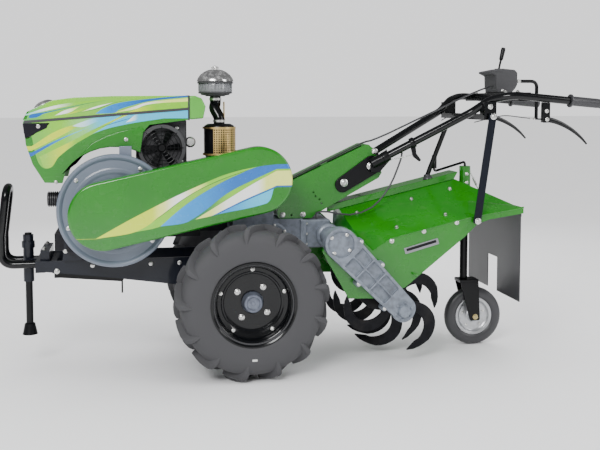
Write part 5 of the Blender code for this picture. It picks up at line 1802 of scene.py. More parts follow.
@dataclass
class Bonnet:
    """The bonnet's two panels, its lamp, seam, cap and straps."""

    half: float = 0.175
    wall: float = 0.0025
    seam: tuple = ((-0.892, 0.734), (-0.238, 0.786))
    top: tuple = (
        (-0.904, 0.738), (-0.886, 0.772), (-0.785, 0.818), (-0.7, 0.829), (-0.55, 0.835), (-0.245, 0.837),
    )
    fold: tuple = (
        (-0.6944, 0.5645), (-0.679, 0.5959), (-0.6365, 0.6391), (-0.5787, 0.6705), (-0.5208, 0.6901),
        (-0.4321, 0.7097)
    )

    def build(self, shop: Workshop) -> None:
        """Makes the bonnet.

        Args:
            shop: Where its pieces are dressed and hung on their bodies.
        """
        half, wall = self.half, self.wall
        roof = [*self.top, (-0.2395, 0.837), (-0.2395, 0.7858), self.seam[0]]
        panel = prism("upper_panel", shop.outline(roof), -half, half, 0.0, 0.012)
        soften(panel, 0.014, 5, 50.0)
        under = [
            (-0.885, 0.7), (-0.8985, 0.739), (-0.8825, 0.7705), (-0.784, 0.8155), (-0.7, 0.8265),
            (-0.55, 0.8325), (-0.2, 0.8345), (-0.2, 0.7)
        ]
        room = soften(prism("room", shop.outline(under), wall - half, half - wall), 0.012, 4, 50.0)
        combined(panel, "DIFFERENCE", [room])
        panel.modifiers.new("light", "WEIGHTED_NORMAL").keep_sharp = True
        shop.fix(settle(panel), Look.BONNET, "bonnet_top")
        cap = [
            (-0.2365, 0.8365), (-0.212, 0.8365), (-0.184, 0.826), (-0.168, 0.792), (-0.178, 0.742),
            (-0.2365, 0.738)
        ]
        block = prism("rear_cap", shop.outline(cap), -half, half, 0.0, 0.01)
        shop.fix(soften(block, 0.012, 4, 45.0), Look.CAP_GREEN)
        strap = prism(
            "rear_strap",
            shop.outline([(-0.242, 0.8385), (-0.2345, 0.8385), (-0.2345, 0.735), (-0.242, 0.735)]),
            -half - 0.0012, half + 0.0012, 0.001
        )
        (x0, z0), (x1, z1) = self.seam
        strip = prism(
            "seam_strip",
            shop.outline(
                [(x0 - 0.006, z0 + 0.002), (x0 - 0.006, z0 - 0.009), (x1, z1 - 0.009), (x1, z1 + 0.002)]
            ),
            -half - 0.0016, half + 0.0016, 0.001
        )
        shop.fix(joined("rubber_seam", [strap, strip]), Look.RUBBER)
        shop.refine("bonnet_lower", Look.SKIRT, 0.0012)
        arch = circle((-0.545, 0.385), 0.2425, 64.0, 143.0, 16)
        crescent = [*self.fold, (-0.418, 0.6905), (-0.4265, 0.688), *arch]
        for sign in (-1, 1):
            sides = sorted((sign * (half - 0.001), sign * (half + 0.004)))
            shop.fix(
                prism(
                    "arch_fold_" + ("left" if sign < 0 else "right"), shop.outline(crescent), *sides, 0.0032
                ),
                Look.GREEN
            )
            for x, z, out in ((-0.843, 0.713, 0.0022), (-0.496, 0.657, 0.0041), (-0.778, 0.4845, 0.0012)):
                shop.bolts((0, sign, 0), 0.012, shop.at(x, sign * (half + out), z))
        self.lamp(shop)

    def lamp(self, shop: Workshop) -> None:
        """The lamp wedge with its front glass, and the filler cap.

        Args:
            shop: Where its pieces are dressed and hung on their bodies.
        """
        wedge = [(-0.9045, 0.7255), (-0.8024, 0.7245), (-0.8101, 0.7058), (-0.8756, 0.6744), (-0.896, 0.666)]
        lamp = prism("lamp_wedge", shop.outline(wedge), -self.half - 0.001, self.half + 0.001, 0.0015, 0.004)
        shop.fix(lamp, Look.LENS, "headlamp")
        glass = slab("lamp_glass", shop.at(-0.9075, -0.11, 0.682), shop.at(-0.899, 0.11, 0.716), 0.003)
        rib = slab("rib", shop.at(-0.909, -0.102, 0.684), shop.at(-0.906, -0.1, 0.714), 0.0006)
        ribs = Copies.of("lamp_ribs", rib, 21, Look.CLEAR_LENS, step=(0.0, 0.01, 0.0))
        shop.fix(joined("lamp_front", [glass, ribs]), Look.CLEAR_LENS)
        slope = Vector((0.785 - 0.886, 0.0, 0.772 - 0.818)).normalized()
        upward = Vector((slope.z, 0.0, -slope.x)).normalized()
        profile = [
            (0.0, 0.02), (0.014, 0.0195), (0.026, 0.0165), (0.036, 0.011), (0.0415, 0.006), (0.042, 0.002),
            (0.04, 0.0), (0.0, 0.0)
        ]
        cap = lathe("lens_cap", profile, shop.at(-0.8355, 0.0, 0.795) + upward * SEAT, upward, 56)
        shop.fix(cap, Look.CAP, "filler_cap")


@dataclass
class Exhaust:
    """The muffler with its perforated guard, the bent pipe and the pre-cleaner."""

    x: float = -0.099
    y: float = -0.03
    radius: float = 0.07
    columns: int = 44
    shown: int = 33
    rows: int = 12
    cell: float = 0.0095

    def build(self, shop: Workshop) -> None:
        """Makes the exhaust and intake.

        Args:
            shop: Where its pieces are dressed and hung on their bodies.
        """
        base = shop.at(self.x, self.y, 0.5403)
        profile = [
            (0.0, 0.176), (0.05, 0.176), (0.064, 0.168), (0.0655, 0.16), (0.0655, 0.044), (0.06, 0.034),
            (0.046, 0.028), (0.03, 0.024), (0.03, 0.0), (0.0, 0.0)
        ]
        shop.fix(lathe("muffler_body", profile, base, steps=64, fillet=0.003), Look.SATIN, "muffler")
        column = Copies.of("column", self.hole(), self.rows, Look.GOLD, step=(0.0, 0.0, self.cell))
        sheet = Copies.of("perforated_guard", column, self.shown, Look.GOLD, math.tau / self.columns)
        sheet.data.transform(
            Matrix.Translation(base + Vector((0, 0, 0.045))) @ Matrix.Rotation(math.radians(-112.0), 4, "Z")
        )
        shop.fix(sheet, Look.GOLD)
        bands = [
            lathe(
                "band", [(0.07, z - 0.004), (0.0722, z - 0.004), (0.0722, z + 0.004), (0.07, z + 0.004)],
                base, steps=64
            )
            for z in (0.045, 0.159)
        ]
        shop.fix(joined("guard_bands", bands), Look.GOLD)
        foot = base + Vector((0.0, 0.0, 0.1763))
        top = shop.at(-0.112, 0.0, 0.835)
        knots = [
            foot, foot + Vector((0.0, 0.0, 0.025)), foot.lerp(top, 0.55) + Vector((-0.01, 0.0, 0.0)),
            top - Vector((0.0, 0.0, 0.03)), top
        ]
        shop.fix(sweep("bent_pipe", smoothed(knots, 8), 0.024, 32), Look.BLACK, "intake_elbow")
        clamps = [
            lathe(
                "clamp", [(0.0242, -0.005), (0.0262, -0.005), (0.0262, 0.005), (0.0242, 0.005)], place,
                steps=40
            )
            for place in (foot + Vector((0, 0, 0.012)), top - Vector((0, 0, 0.012)))
        ]
        shop.fix(joined("pipe_clamps", clamps), Look.ZINC)
        strip = slab("gold_strip", shop.at(-0.078, -0.04, 0.722), shop.at(-0.075, 0.004, 0.812), 0.001)
        shop.fix(strip, Look.GOLD)
        self.cleaner(shop, top + Vector((0.0, 0.0, SEAT)))

    def hole(self) -> bpy.types.Object:
        """One cell of the perforated sheet, at its radius.

        Returns:
            The cell.
        """
        wide, high = self.radius * math.tan(math.pi / self.columns) + 0.00005, self.cell / 2 + 0.00005
        edge = [
            (wide, 0), (wide, high), (0, high), (-wide, high), (-wide, 0), (-wide, -high), (0, -high),
            (wide, -high)
        ]
        bm = bmesh.new()
        loops = []
        for x in (self.radius, self.radius + 0.0009):
            loops.append([bm.verts.new((x, y, z)) for y, z in edge])
            loops.append(
                [
                    bm.verts.new(
                        (x, 0.0032 * math.cos(k * math.tau / 8), 0.0032 * math.sin(k * math.tau / 8))
                    )
                    for k in range(8)
                ]
            )
        for first, second in ((0, 1), (2, 3), (1, 3), (0, 2)):
            bridge(bm, loops[first], loops[second])
        return piece("cell", bm)

    def cleaner(self, shop: Workshop, foot: Vector) -> None:
        """The pre-cleaner: base rings, ribbed bowl, dome and wing screw.

        Args:
            shop: Where its pieces are dressed and fixed.
            foot: The middle of its underside.
        """
        base = [
            (0.0, 0.02), (0.066, 0.02), (0.074, 0.018), (0.074, 0.013), (0.062, 0.01), (0.062, 0.006),
            (0.044, 0.003), (0.04, 0.0), (0.0, 0.0)
        ]
        ring = [(0.0, 0.064), (0.074, 0.064), (0.078, 0.061), (0.078, 0.056), (0.072, 0.0545), (0.0, 0.0545)]
        black = joined(
            "cleaner_rings", [lathe("base", base, foot, steps=64), lathe("ring", ring, foot, steps=64)]
        )
        shop.fix(black, Look.MOULDING)
        bowl = lathe(
            "bowl", [(0.0, 0.055), (0.069, 0.055), (0.0715, 0.019), (0.0, 0.019)], foot, steps=72,
            fillet=0.002
        )
        rib = slab("rib", (0.0695, -0.0012, 0.02), (0.0738, 0.0012, 0.054), 0.0005)
        ribs = Copies.of("bowl_ribs", rib, 30, Look.BOWL, math.tau / 30)
        ribs.data.transform(Matrix.Translation(foot))
        shop.fix(joined("ribbed_bowl", [bowl, ribs]), Look.BOWL, "air_precleaner")
        dome = [
            (0.0, 0.118), (0.012, 0.1175), (0.03, 0.114), (0.048, 0.106), (0.064, 0.094), (0.075, 0.079),
            (0.079, 0.068), (0.079, 0.064), (0.0, 0.064)
        ]
        shop.fix(lathe("bright_dome", dome, foot, steps=96), Look.CHROME)
        stem = lathe(
            "stem", [(0.0, 0.133), (0.004, 0.133), (0.0055, 0.13), (0.0055, 0.117), (0.0, 0.117)], foot,
            steps=24
        )
        wings = slab(
            "wings", foot + Vector((-0.016, -0.0018, 0.12)), foot + Vector((0.016, 0.0018, 0.129)), 0.0015
        )
        shop.fix(joined("wing_screw", [stem, wings]), Look.ZINC)


# ---------------------------------------------------------------- handle


@dataclass
class Handle:
    """The arm, the handlebars with their grips, and every control on them."""

    arm_half: float = 0.078
    bar_radius: float = 0.017
    grip_radius: float = 0.021
    spread: float = 0.31
    bar: tuple = (
        (0.64, 0.124, 0.578), (0.99, 0.205, 0.767), (1.055, 0.25, 0.82), (1.13, 0.31, 0.84),
        (1.395, 0.31, 0.816)
    )
    arm_holes: tuple = ((0.212, 0.3155), (0.31, 0.414), (0.337, 0.383), (0.319, 0.397), (0.346, 0.365))

    def build(self, shop: Workshop) -> None:
        """Makes the handle.

        Args:
            shop: Where its pieces are dressed and hung on their bodies.
        """
        ends = [(shop.at(x, -0.12, z), shop.at(x, 0.12, z)) for x, z in self.arm_holes]
        holes = [sweep("hole", pair, 0.0042, 16) for pair in ends]
        shop.refine("handle_arm", Look.GREEN, 0.0035, *holes)
        face = -self.arm_half - 0.0002
        for sign in (-1, 1):
            shop.bolts(
                (0, sign, 0), 0.0185,
                *(shop.at(x, -sign * face, z) for x, z in ((0.172, 0.317), (0.262, 0.317)))
            )
            shop.bolts(
                (0, sign, 0), 0.026,
                *(shop.at(x, sign * 0.0865, z) for x, z in ((0.446, 0.455), (0.566, 0.527)))
            )
            shop.bolts((0, sign, 0), 0.021, shop.at(0.588, -sign * face, 0.592))
        for x0, z0, x1, z1 in ((0.2, 0.46, 0.345, 0.5275), (0.375, 0.5415, 0.53, 0.613)):
            plate = sweep(
                "arm_rail", (shop.at(x0, -0.06, z0 + 0.004), shop.at(x1, -0.06, z1 + 0.004)), 0.003, 12
            )
            shop.fix(plate, Look.SATIN)
        self.bars(shop)
        self.controls(shop)

    def bars(self, shop: Workshop) -> None:
        """Both handlebars with their sockets, grips and crosspieces.

        Args:
            shop: Where its pieces are dressed and hung on their bodies.
        """
        for side, sign in (("left", -1), ("right", 1)):
            corners = [shop.at(x, sign * y, z) for x, y, z in self.bar]
            shop.fix(
                sweep("bent_bar_" + side, filleted(corners, 0.12, 10), self.bar_radius, 32), Look.BLACK,
                "handlebar_" + side
            )
            ahead = (corners[1] - corners[0]).normalized()
            faces = sorted((sign * (self.arm_half + SEAT), sign * (self.arm_half + 0.0083)))
            plate = prism(
                "plate", shop.outline(capsule((0.44, 0.446), 0.034, (0.575, 0.532), 0.042)), *faces, 0.002
            )
            end = corners[0] - ahead * SEAT
            steps = (
                (0.085, 0.0205), (0.083, 0.0232), (0.03, 0.0232), (0.028, 0.025), (0.004, 0.025),
                (0.0, 0.0232)
            )
            socket = sweep(
                "socket", [end - ahead * back for back, _ in steps], [thick for _, thick in steps], 32
            )
            web = prism(
                "web", shop.outline([(0.56, 0.5), (0.6, 0.5), (0.655, 0.56), (0.648, 0.585), (0.56, 0.56)]),
                *sorted((sign * 0.0863, sign * 0.115)), 0.003
            )
            shop.fix(joined("socket_plate_" + side, [plate, socket, web]), Look.SATIN, "handle_plate_" + side)
            back = (corners[-1] - corners[-2]).normalized()
            start = corners[-1] + back * SEAT
            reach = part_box("grip_" + side)[1].x - self.grip_radius * abs(back.z) - start.x
            length = reach / back.x
            profile = [
                (0.0, length), (0.017, length), (0.0205, length - 0.003), (0.021, length - 0.01),
                (0.02, length - 0.012), (0.02, 0.012), (0.021, 0.009), (0.0285, 0.007), (0.029, 0.0035),
                (0.0285, 0.0), (0.0, 0.0)
            ]
            grip = lathe("grip", profile, (0, 0, 0), steps=40)
            ring = lathe(
                "ring", [(0.0198, -0.0022), (0.0208, -0.0012), (0.0208, 0.0012), (0.0198, 0.0022)],
                (0, 0, 0), steps=32
            )
            ring.data.transform(Matrix.Translation((0, 0, 0.018)))
            rings = Copies.of(
                "grip_rings", ring, int((length - 0.034) / 0.0065), Look.RUBBER, step=(0, 0, 0.0065)
            )
            shop.fix(
                baked(joined("ringed_grip_" + side, [grip, rings]), start, back), Look.RUBBER,
                "grip_" + side
            )
            self.lever(shop, side, sign)
        shop.refine("handle_crossbar", Look.BLACK, 0.0022)
        shop.refine("console_bridge", Look.BLACK, 0.0022)
        for sign in (-1, 1):
            shop.bolts((0, sign, 0), 0.017, shop.at(1.047, sign * 0.2752, 0.79))
            shop.bolts(
                (0, 0, 1), 0.014, shop.at(1.187, sign * 0.24, 0.8522), shop.at(1.187, sign * 0.11, 0.8522)
            )

    def lever(self, shop: Workshop, side: str, sign: int) -> None:
        """One steering-clutch lever with its bracket, pivot and cable end.

        Args:
            shop: Where its pieces are dressed and fixed.
            side: Its side, as the frame names it.
            sign: -1 on the left and 1 on the right.
        """
        middle = sign * self.spread
        line = smoothed(
            [
                (1.276, 0, 0.733), (1.31, 0, 0.732), (1.355, 0, 0.718), (1.405, 0, 0.692), (1.448, 0, 0.66),
                (1.48, 0, 0.6275)
            ],
            5
        )
        widths = [0.0125 - 0.0085 * (number / (len(line) - 1)) ** 1.4 for number in range(len(line))]
        places = [shop.at(point.x, middle, point.z) for point in line]
        arm = sweep("arm", places, widths, 20, 0.55)
        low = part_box("clutch_lever_" + side)[1].z - shop.axle.z
        bracket = prism(
            "bracket",
            shop.outline([(1.268, 0.722), (1.302, 0.722), (1.302, low - 0.003), (1.268, low - 0.0004)]),
            middle - 0.011, middle + 0.011, 0.0025
        )
        pivot = sweep(
            "pivot", (shop.at(1.285, middle - 0.016, 0.736), shop.at(1.285, middle + 0.016, 0.736)), 0.006,
            20
        )
        eye = sweep("eye", (shop.at(1.226, middle, 0.738), shop.at(1.272, middle, 0.736)), 0.0035, 12)
        shop.fix(joined("hand_lever_" + side, [arm, bracket, pivot, eye]), Look.BLACK, "clutch_lever_" + side)
        shop.bolts(
            (0, sign, 0), 0.0135, shop.at(1.285, middle + sign * 0.0163, 0.736),
            shop.at(1.285, middle + sign * 0.0113, 0.772)
        )
        wire = smoothed(
            [
                shop.at(1.238, middle, 0.738), shop.at(1.18, middle * 0.985, 0.744),
                shop.at(1.11, middle * 0.93, 0.752), shop.at(1.06, middle * 0.85, 0.742),
                shop.at(1.0, middle * 0.68, 0.722)
            ],
            6
        )
        shop.fix(sweep("lever_wire_" + side, wire, 0.0022, 10), Look.RUBBER)
        sleeve = sweep(
            "sleeve", (shop.at(1.236, middle, 0.738), shop.at(1.212, middle * 0.993, 0.7395)), 0.0042, 14
        )
        shop.fix(sleeve, Look.ZINC)

    def controls(self, shop: Workshop) -> None:
        """The console, its lever and rod, the stay, the shift lever, the trigger and the cables.

        Args:
            shop: Where its pieces are dressed and hung on their bodies.
        """
        shop.refine("console", Look.MOULDING, 0.004)
        low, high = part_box("console")
        lip = slab(
            "console_lid", (low.x + 0.004, low.y - 0.002, high.z - 0.015),
            (low.x + 0.06, high.y + 0.002, high.z - 0.0115), 0.0015
        )
        shop.fix(lip, Look.MOULDING)
        knob = lathe(
            "switch", [(0.0, 0.014), (0.01, 0.014), (0.0125, 0.01), (0.0125, 0.0), (0.0, 0.0)],
            (high.x - 0.0005, 0.03, high.z - 0.05), (1, 0, 0), 32, 0.0015
        )
        shop.fix(knob, Look.MOULDING)
        for y in (-0.052, 0.052):
            shop.bolts(
                (0, math.copysign(1, y), 0), 0.011, (low.x + 0.062, math.copysign(0.0702, y), low.z + 0.01)
            )
        place, tip = shop.at(1.2, 0.0, 0.9625), shop.at(1.222, 0.0, 0.0)
        tip.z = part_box("console_lever")[1].z
        way = (tip - place).normalized()
        stem = [
            place, place + way * 0.04, place + way * 0.044, tip - way * 0.012, tip - way * 0.003,
            tip - way * 0.0012
        ]
        shop.fix(
            sweep("lever_with_knob", stem, [0.0045, 0.005, 0.009, 0.0105, 0.009, 0.005], 28), Look.SATIN,
            "console_lever"
        )
        gate = slab("lever_gate", shop.at(1.184, -0.014, 0.96), shop.at(1.222, 0.014, 0.964), 0.0012)
        shop.fix(gate, Look.SATIN)
        rod = filleted(
            [shop.at(1.2623, -0.05, 0.905), shop.at(1.365, -0.05, 0.905), shop.at(1.365, -0.05, 0.735)],
            0.03, 10
        )
        shop.fix(sweep("bent_rod", rod, 0.008, 24), Look.BLACK, "clutch_rod")
        shop.bolts((0, -1, 0), 0.013, shop.at(1.275, -0.0582, 0.905))
        shop.refine("handle_strut", Look.FRAME, 0.0012)
        shop.bolts((0, -1, 0), 0.0205, shop.at(0.977, -0.3262, 0.302), shop.at(1.053, -0.2972, 0.748))
        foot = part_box("shift_lever")[0].z
        lever = [
            shop.at(0.8485, -0.035, 0.0), shop.at(0.847, -0.035, 0.477), shop.at(0.854, -0.044, 0.505),
            shop.at(0.905, -0.115, 0.7)
        ]
        lever[0].z = foot + 0.002
        shop.fix(sweep("gear_lever", filleted(lever, 0.03, 6), 0.0105, 24), Look.SATIN, "shift_lever")
        boot = lathe(
            "lever_boot",
            [
                (0.0, 0.02), (0.013, 0.02), (0.016, 0.014), (0.0155, 0.011), (0.02, 0.006), (0.022, 0.0),
                (0.0, 0.0)
            ],
            (lever[0].x, lever[0].y, foot + 0.003), (-0.2, 0, 1), 36
        )
        shop.fix(boot, Look.RUBBER)
        hook = prism(
            "trigger",
            shop.outline(
                [
                    (0.728, 0.622), (0.752, 0.632), (0.757, 0.585), (0.78, 0.555), (0.771, 0.548),
                    (0.742, 0.57)
                ]
            ),
            -0.1515, -0.1435, 0.0015, 0.006
        )
        middle = shop.at(0.74, -0.1471, 0.632)
        ahead = Vector(self.bar[1]) - Vector(self.bar[0])
        ahead.y = -ahead.y
        clamp = lathe(
            "clamp",
            [
                (0.0172, -0.01), (0.0225, -0.01), (0.0235, -0.008), (0.0235, 0.008), (0.0225, 0.01),
                (0.0172, 0.01)
            ],
            middle, ahead, 40
        )
        shop.fix(joined("trigger_and_clamp", [hook, clamp]), Look.SATIN)
        link = sweep("trigger_link", (shop.at(0.748, -0.1465, 0.58), shop.at(0.6, -0.113, 0.545)), 0.0026, 12)
        shop.fix(link, Look.STEEL)
        for node in ("throttle_cable", "clutch_cable_left", "clutch_cable_right"):
            obj = shop.copy(node)
            shop.fix(obj, Look.RUBBER, node)


# ---------------------------------------------------------------- tiller


@dataclass
class Tiller:
    """The gearbox, the tiller's cases, its hood, flap and rotor."""

    half: float = 0.3
    drive: tuple = (0.37, 0.225)
    rotor: tuple = (0.64, -0.065)
    tips: float = 0.2215
    stations: int = 8
    spacing: float = 0.072
    turn: float = 62.0
    sweep_back: float = 74.0
    case_face: float = 0.0995

    def build(self, shop: Workshop) -> None:
        """Makes the tiller.

        Args:
            shop: Where its pieces are dressed and hung on their bodies.
        """
        self.gearbox(shop)
        self.chain_case(shop)
        self.sheets(shop)
        self.blades(shop)

    def gearbox(self, shop: Workshop) -> None:
        """The main castings with their flanges, ribs and bolts.

        Args:
            shop: Where its pieces are dressed and hung on their bodies.
        """
        shop.refine("gearbox", Look.CASTING, 0.005)
        shop.refine("tiller_drive_case", Look.IRON, 0.005)
        for sign in (-1, 1):
            ring = [(0.055, 0.02), (0.068, 0.02), (0.072, 0.016), (0.072, 0.004), (0.078, 0.0), (0.055, 0.0)]
            shop.fix(
                lathe(
                    "axle_flange_" + ("left" if sign < 0 else "right"), ring,
                    shop.at(0.0, sign * self.case_face, 0.0), (0, sign, 0), 56, 0.002
                ),
                Look.CASTING
            )
            cover = [
                (0.0, 0.008), (0.04, 0.008), (0.048, 0.012), (0.056, 0.012), (0.06, 0.008), (0.062, 0.0),
                (0.0, 0.0)
            ]
            shop.fix(
                lathe(
                    "case_cover", cover, shop.at(0.13, sign * self.case_face, 0.225), (0, sign, 0), 56,
                    0.002
                ),
                Look.CASTING
            )
            for x, z in circle((0.13, 0.225), 0.052, 30.0, 390.0, 6):
                shop.bolts((0, sign, 0), 0.01, shop.at(x, sign * 0.1116, z))
            for x, z in circle((0.0, 0.0), 0.065, 15.0, 375.0, 6):
                shop.bolts((0, sign, 0), 0.0095, shop.at(x, sign * 0.1196, z))
            rim = prism(
                "case_joint",
                shop.outline([(0.247, 0.172), (0.2725, 0.172), (0.2725, 0.297), (0.247, 0.297)]),
                *sorted((sign * 0.094, sign * 0.108)), 0.003
            )
            shop.fix(rim, Look.IRON)
            for z in (0.19, 0.235, 0.28):
                shop.bolts((1, 0, 0), 0.009, shop.at(0.2727, sign * 0.101, z))
            collar = [(0.04, 0.0), (0.052, 0.0), (0.054, 0.008), (0.054, 0.022), (0.05, 0.028), (0.04, 0.034)]
            shop.fix(
                lathe(
                    "tube_collar", collar, shop.at(self.drive[0], sign * 0.0945, self.drive[1]),
                    (0, sign, 0), 48, 0.002
                ),
                Look.IRON
            )
            flange = [
                (0.0402, 0.0), (0.062, 0.0), (0.064, 0.003), (0.064, 0.012), (0.046, 0.018), (0.0402, 0.018)
            ]
            shop.fix(
                lathe(
                    "plate_flange", flange,
                    shop.at(self.drive[0], sign * (self.half - 0.0005), self.drive[1]), (0, -sign, 0), 48,
                    0.0015
                ),
                Look.IRON
            )

    def chain_case(self, shop: Workshop) -> None:
        """The side case: a rim round a bolted recess and two rows of pockets, with a boss below.

        Args:
            shop: Where its pieces are dressed and hung on their bodies.
        """
        low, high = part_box("chain_case")
        back, front = high.y, low.y + 0.012
        start, end = Vector(self.drive), Vector((self.rotor[0], self.rotor[1] + 0.01))
        along = (end - start).normalized()
        across = Vector((-along.y, along.x))
        case = prism(
            "side_case", shop.outline(capsule(self.drive, 0.068, tuple(end), 0.052, 32)), front, back
        )
        cutters = [
            prism(
                "recess", shop.outline(circle(self.drive, 0.055, 0, 360, 44)), front - 0.02, front + 0.014
            )
        ]

        def pocket(u0: float, u1: float, side: int) -> bpy.types.Object:
            """A pocket between two ribs, on one side of the middle rib.

            Args:
                u0: Where it starts along the arm.
                u1: Where it ends.
                side: The side of the middle rib, -1 or 1.

            Returns:
                The pocket's body, for cutting.
            """
            wide = [0.062 - 0.016 * u / 0.389 for u in (u0, u1)]
            corners = [
                (u0, side * 0.003), (u1, side * 0.003), (u1, side * (wide[1] - 0.006)),
                (u0, side * (wide[0] - 0.006))
            ]
            points = [start + along * u + across * v for u, v in corners]
            return prism(
                "pocket", shop.outline((p.x, p.y) for p in points), front - 0.02, front + 0.016, 0.0, 0.006
            )

        runs = ((0.075, 0.145), (0.151, 0.222), (0.228, 0.312))
        cutters += [pocket(u0, u1, side) for u0, u1 in runs for side in (-1, 1)]
        combined(case, "DIFFERENCE", cutters)
        soften(case, 0.0026, 3, 30.0)
        boss_profile = [
            (0.0, 0.046), (0.022, 0.046), (0.026, 0.04), (0.027, 0.03), (0.044, 0.028), (0.049, 0.022),
            (0.05, 0.0), (0.0, 0.0)
        ]
        boss = lathe(
            "boss", boss_profile, shop.at(self.rotor[0], back - 0.03, self.rotor[1]), (0, -1, 0), 64, 0.0025
        )
        ears = []
        for u, side, wide in ((0.055, 1, 0.067), (0.175, -1, 0.064), (0.19, 1, 0.064), (0.33, -1, 0.057)):
            point = start + along * u + across * side * wide
            ears.append(
                lathe(
                    "ear", [(0.0, 0.05), (0.009, 0.05), (0.012, 0.046), (0.013, 0.0), (0.0, 0.0)],
                    shop.at(point.x, back, point.y), (0, -1, 0), 32
                )
            )
            shop.bolts((0, -1, 0), 0.012, shop.at(point.x, back - 0.0502, point.y))
        shop.fix(joined("ribbed_side_case", [case, boss, *ears]), Look.IRON, "chain_case")
        for x, z in circle(self.drive, 0.047, 55.0, 415.0, 4):
            shop.bolts((0, -1, 0), 0.0125, shop.at(x, front + 0.0138, z))
        for x, z in circle(self.rotor, 0.036, 20.0, 380.0, 6):
            Fixings.put("machine", Look.IRON, (0, -1, 0), 0.011, shop.at(x, back - 0.0582, z))

    def sheets(self, shop: Workshop) -> None:
        """The hood, ridge beam, side plates with their fixings, and the flap.

        Args:
            shop: Where its pieces are dressed and hung on their bodies.
        """
        shop.refine("tiller_hood", Look.GREEN, 0.0016)
        shop.refine("ridge_beam", Look.GREEN, 0.006)
        shop.refine("tiller_side_left", Look.GREEN, 0.0014)
        shop.refine("tiller_side_right", Look.GREEN, 0.0014)
        shop.refine("rear_flap", Look.RUBBER, 0.0012)
        side = -self.half - 0.0042
        bolts = ((0.602, 0.224), (0.743, 0.262), (0.89, 0.296))
        for sign in (-1, 1):
            shop.bolts((0, sign, 0), 0.015, *(shop.at(x, -sign * side, z) for x, z in bolts))
            for x, y in ((0.5, 0.105), (0.75, 0.105), (0.93, 0.105), (0.64, 0.245), (0.86, 0.245)):
                shop.bolt_on("tiller_hood", x, sign * y, (0, 0, -1), 0.0135)
        edge = [
            shop.at(x, side + 0.001, z + 0.001) for x, z in ((0.59, 0.233), (0.945, 0.315), (1.195, 0.3535))
        ]
        shop.fix(sweep("edge_bead", filleted(edge, 0.05, 4), 0.0035, 12), Look.GREEN)
        plate = [(0.662, 0.166), (0.812, 0.206), (0.805, 0.232), (0.655, 0.192)]
        shop.fix(
            prism("blank_plate", shop.outline(plate), side - 0.0016, side + 0.0004, 0.0004, 0.004),
            Look.PLATE
        )
        inner = [(0.668, 0.178), (0.8, 0.2135), (0.797, 0.2245), (0.665, 0.189)]
        shop.fix(prism("plate_band", shop.outline(inner), side - 0.0022, side, 0.0003, 0.003), Look.SATIN)
        loop = [
            shop.at(0.692, side + 0.002, 0.084), shop.at(0.692, side - 0.016, 0.084),
            shop.at(0.714, side - 0.016, 0.076), shop.at(0.714, side + 0.002, 0.076)
        ]
        shop.fix(sweep("lifting_eye", filleted(loop, 0.01, 5), 0.0032, 14), Look.GREEN)
        low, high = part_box("rear_flap")
        bar = slab(
            "flap_bar", (high.x + 0.0002, low.y + 0.004, high.z - 0.03),
            (high.x + 0.0032, high.y - 0.004, high.z - 0.006), 0.001
        )
        shop.fix(bar, Look.SATIN)
        shop.bolts(
            (1, 0, 0), 0.012,
            *((high.x + 0.0034, y, high.z - 0.018) for y in (-0.25, -0.125, 0.0, 0.125, 0.25))
        )
        spring = [
            Vector((0.0045 * math.cos(a), 0.0045 * math.sin(a), 0.0024 * a / math.tau))
            for a in (k * math.tau / 12 for k in range(12 * 16))
        ]
        top, foot = shop.at(1.063, -0.006, 0.49), shop.at(1.112, -0.01, 0.39)
        coil = baked(sweep("coil", spring, 0.0009, 8), top.lerp(foot, 0.3), foot - top)
        shop.fix(joined("return_spring", [coil, sweep("wire", (top, foot), 0.0022, 12)]), Look.STEEL)

    def blades(self, shop: Workshop) -> None:
        """The rotor: shaft, holders and sixteen broad blades that sweep back and bend sideways.

        Args:
            shop: Where its pieces are dressed and hung on their bodies.
        """
        axis = shop.at(self.rotor[0], 0.0, self.rotor[1])
        low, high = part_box("rotor")
        parts = [sweep("shaft", ((axis.x, low.y, axis.z), (axis.x, high.y, axis.z)), 0.0268, 40)]
        for number in range(self.stations):
            y = (number - (self.stations - 1) / 2) * self.spacing
            parts.append(
                lathe(
                    "holder", [(0.026, -0.012), (0.044, -0.01), (0.044, 0.01), (0.026, 0.012)],
                    (axis.x, y, axis.z), (0, 1, 0), 40, 0.0015
                )
            )
            for flip in (0.0, math.pi):
                bend = 1 if (number + (flip > 0)) % 2 else -1
                bend = {0: 1, self.stations - 1: -1}.get(number, bend)
                parts.append(
                    self.blade(axis + Vector((0, y, 0)), math.radians(self.turn) * number + flip, bend)
                )
        shop.mount(joined("bladed_rotor", parts), "rotor_shaft", Look.BLADE, "rotor")

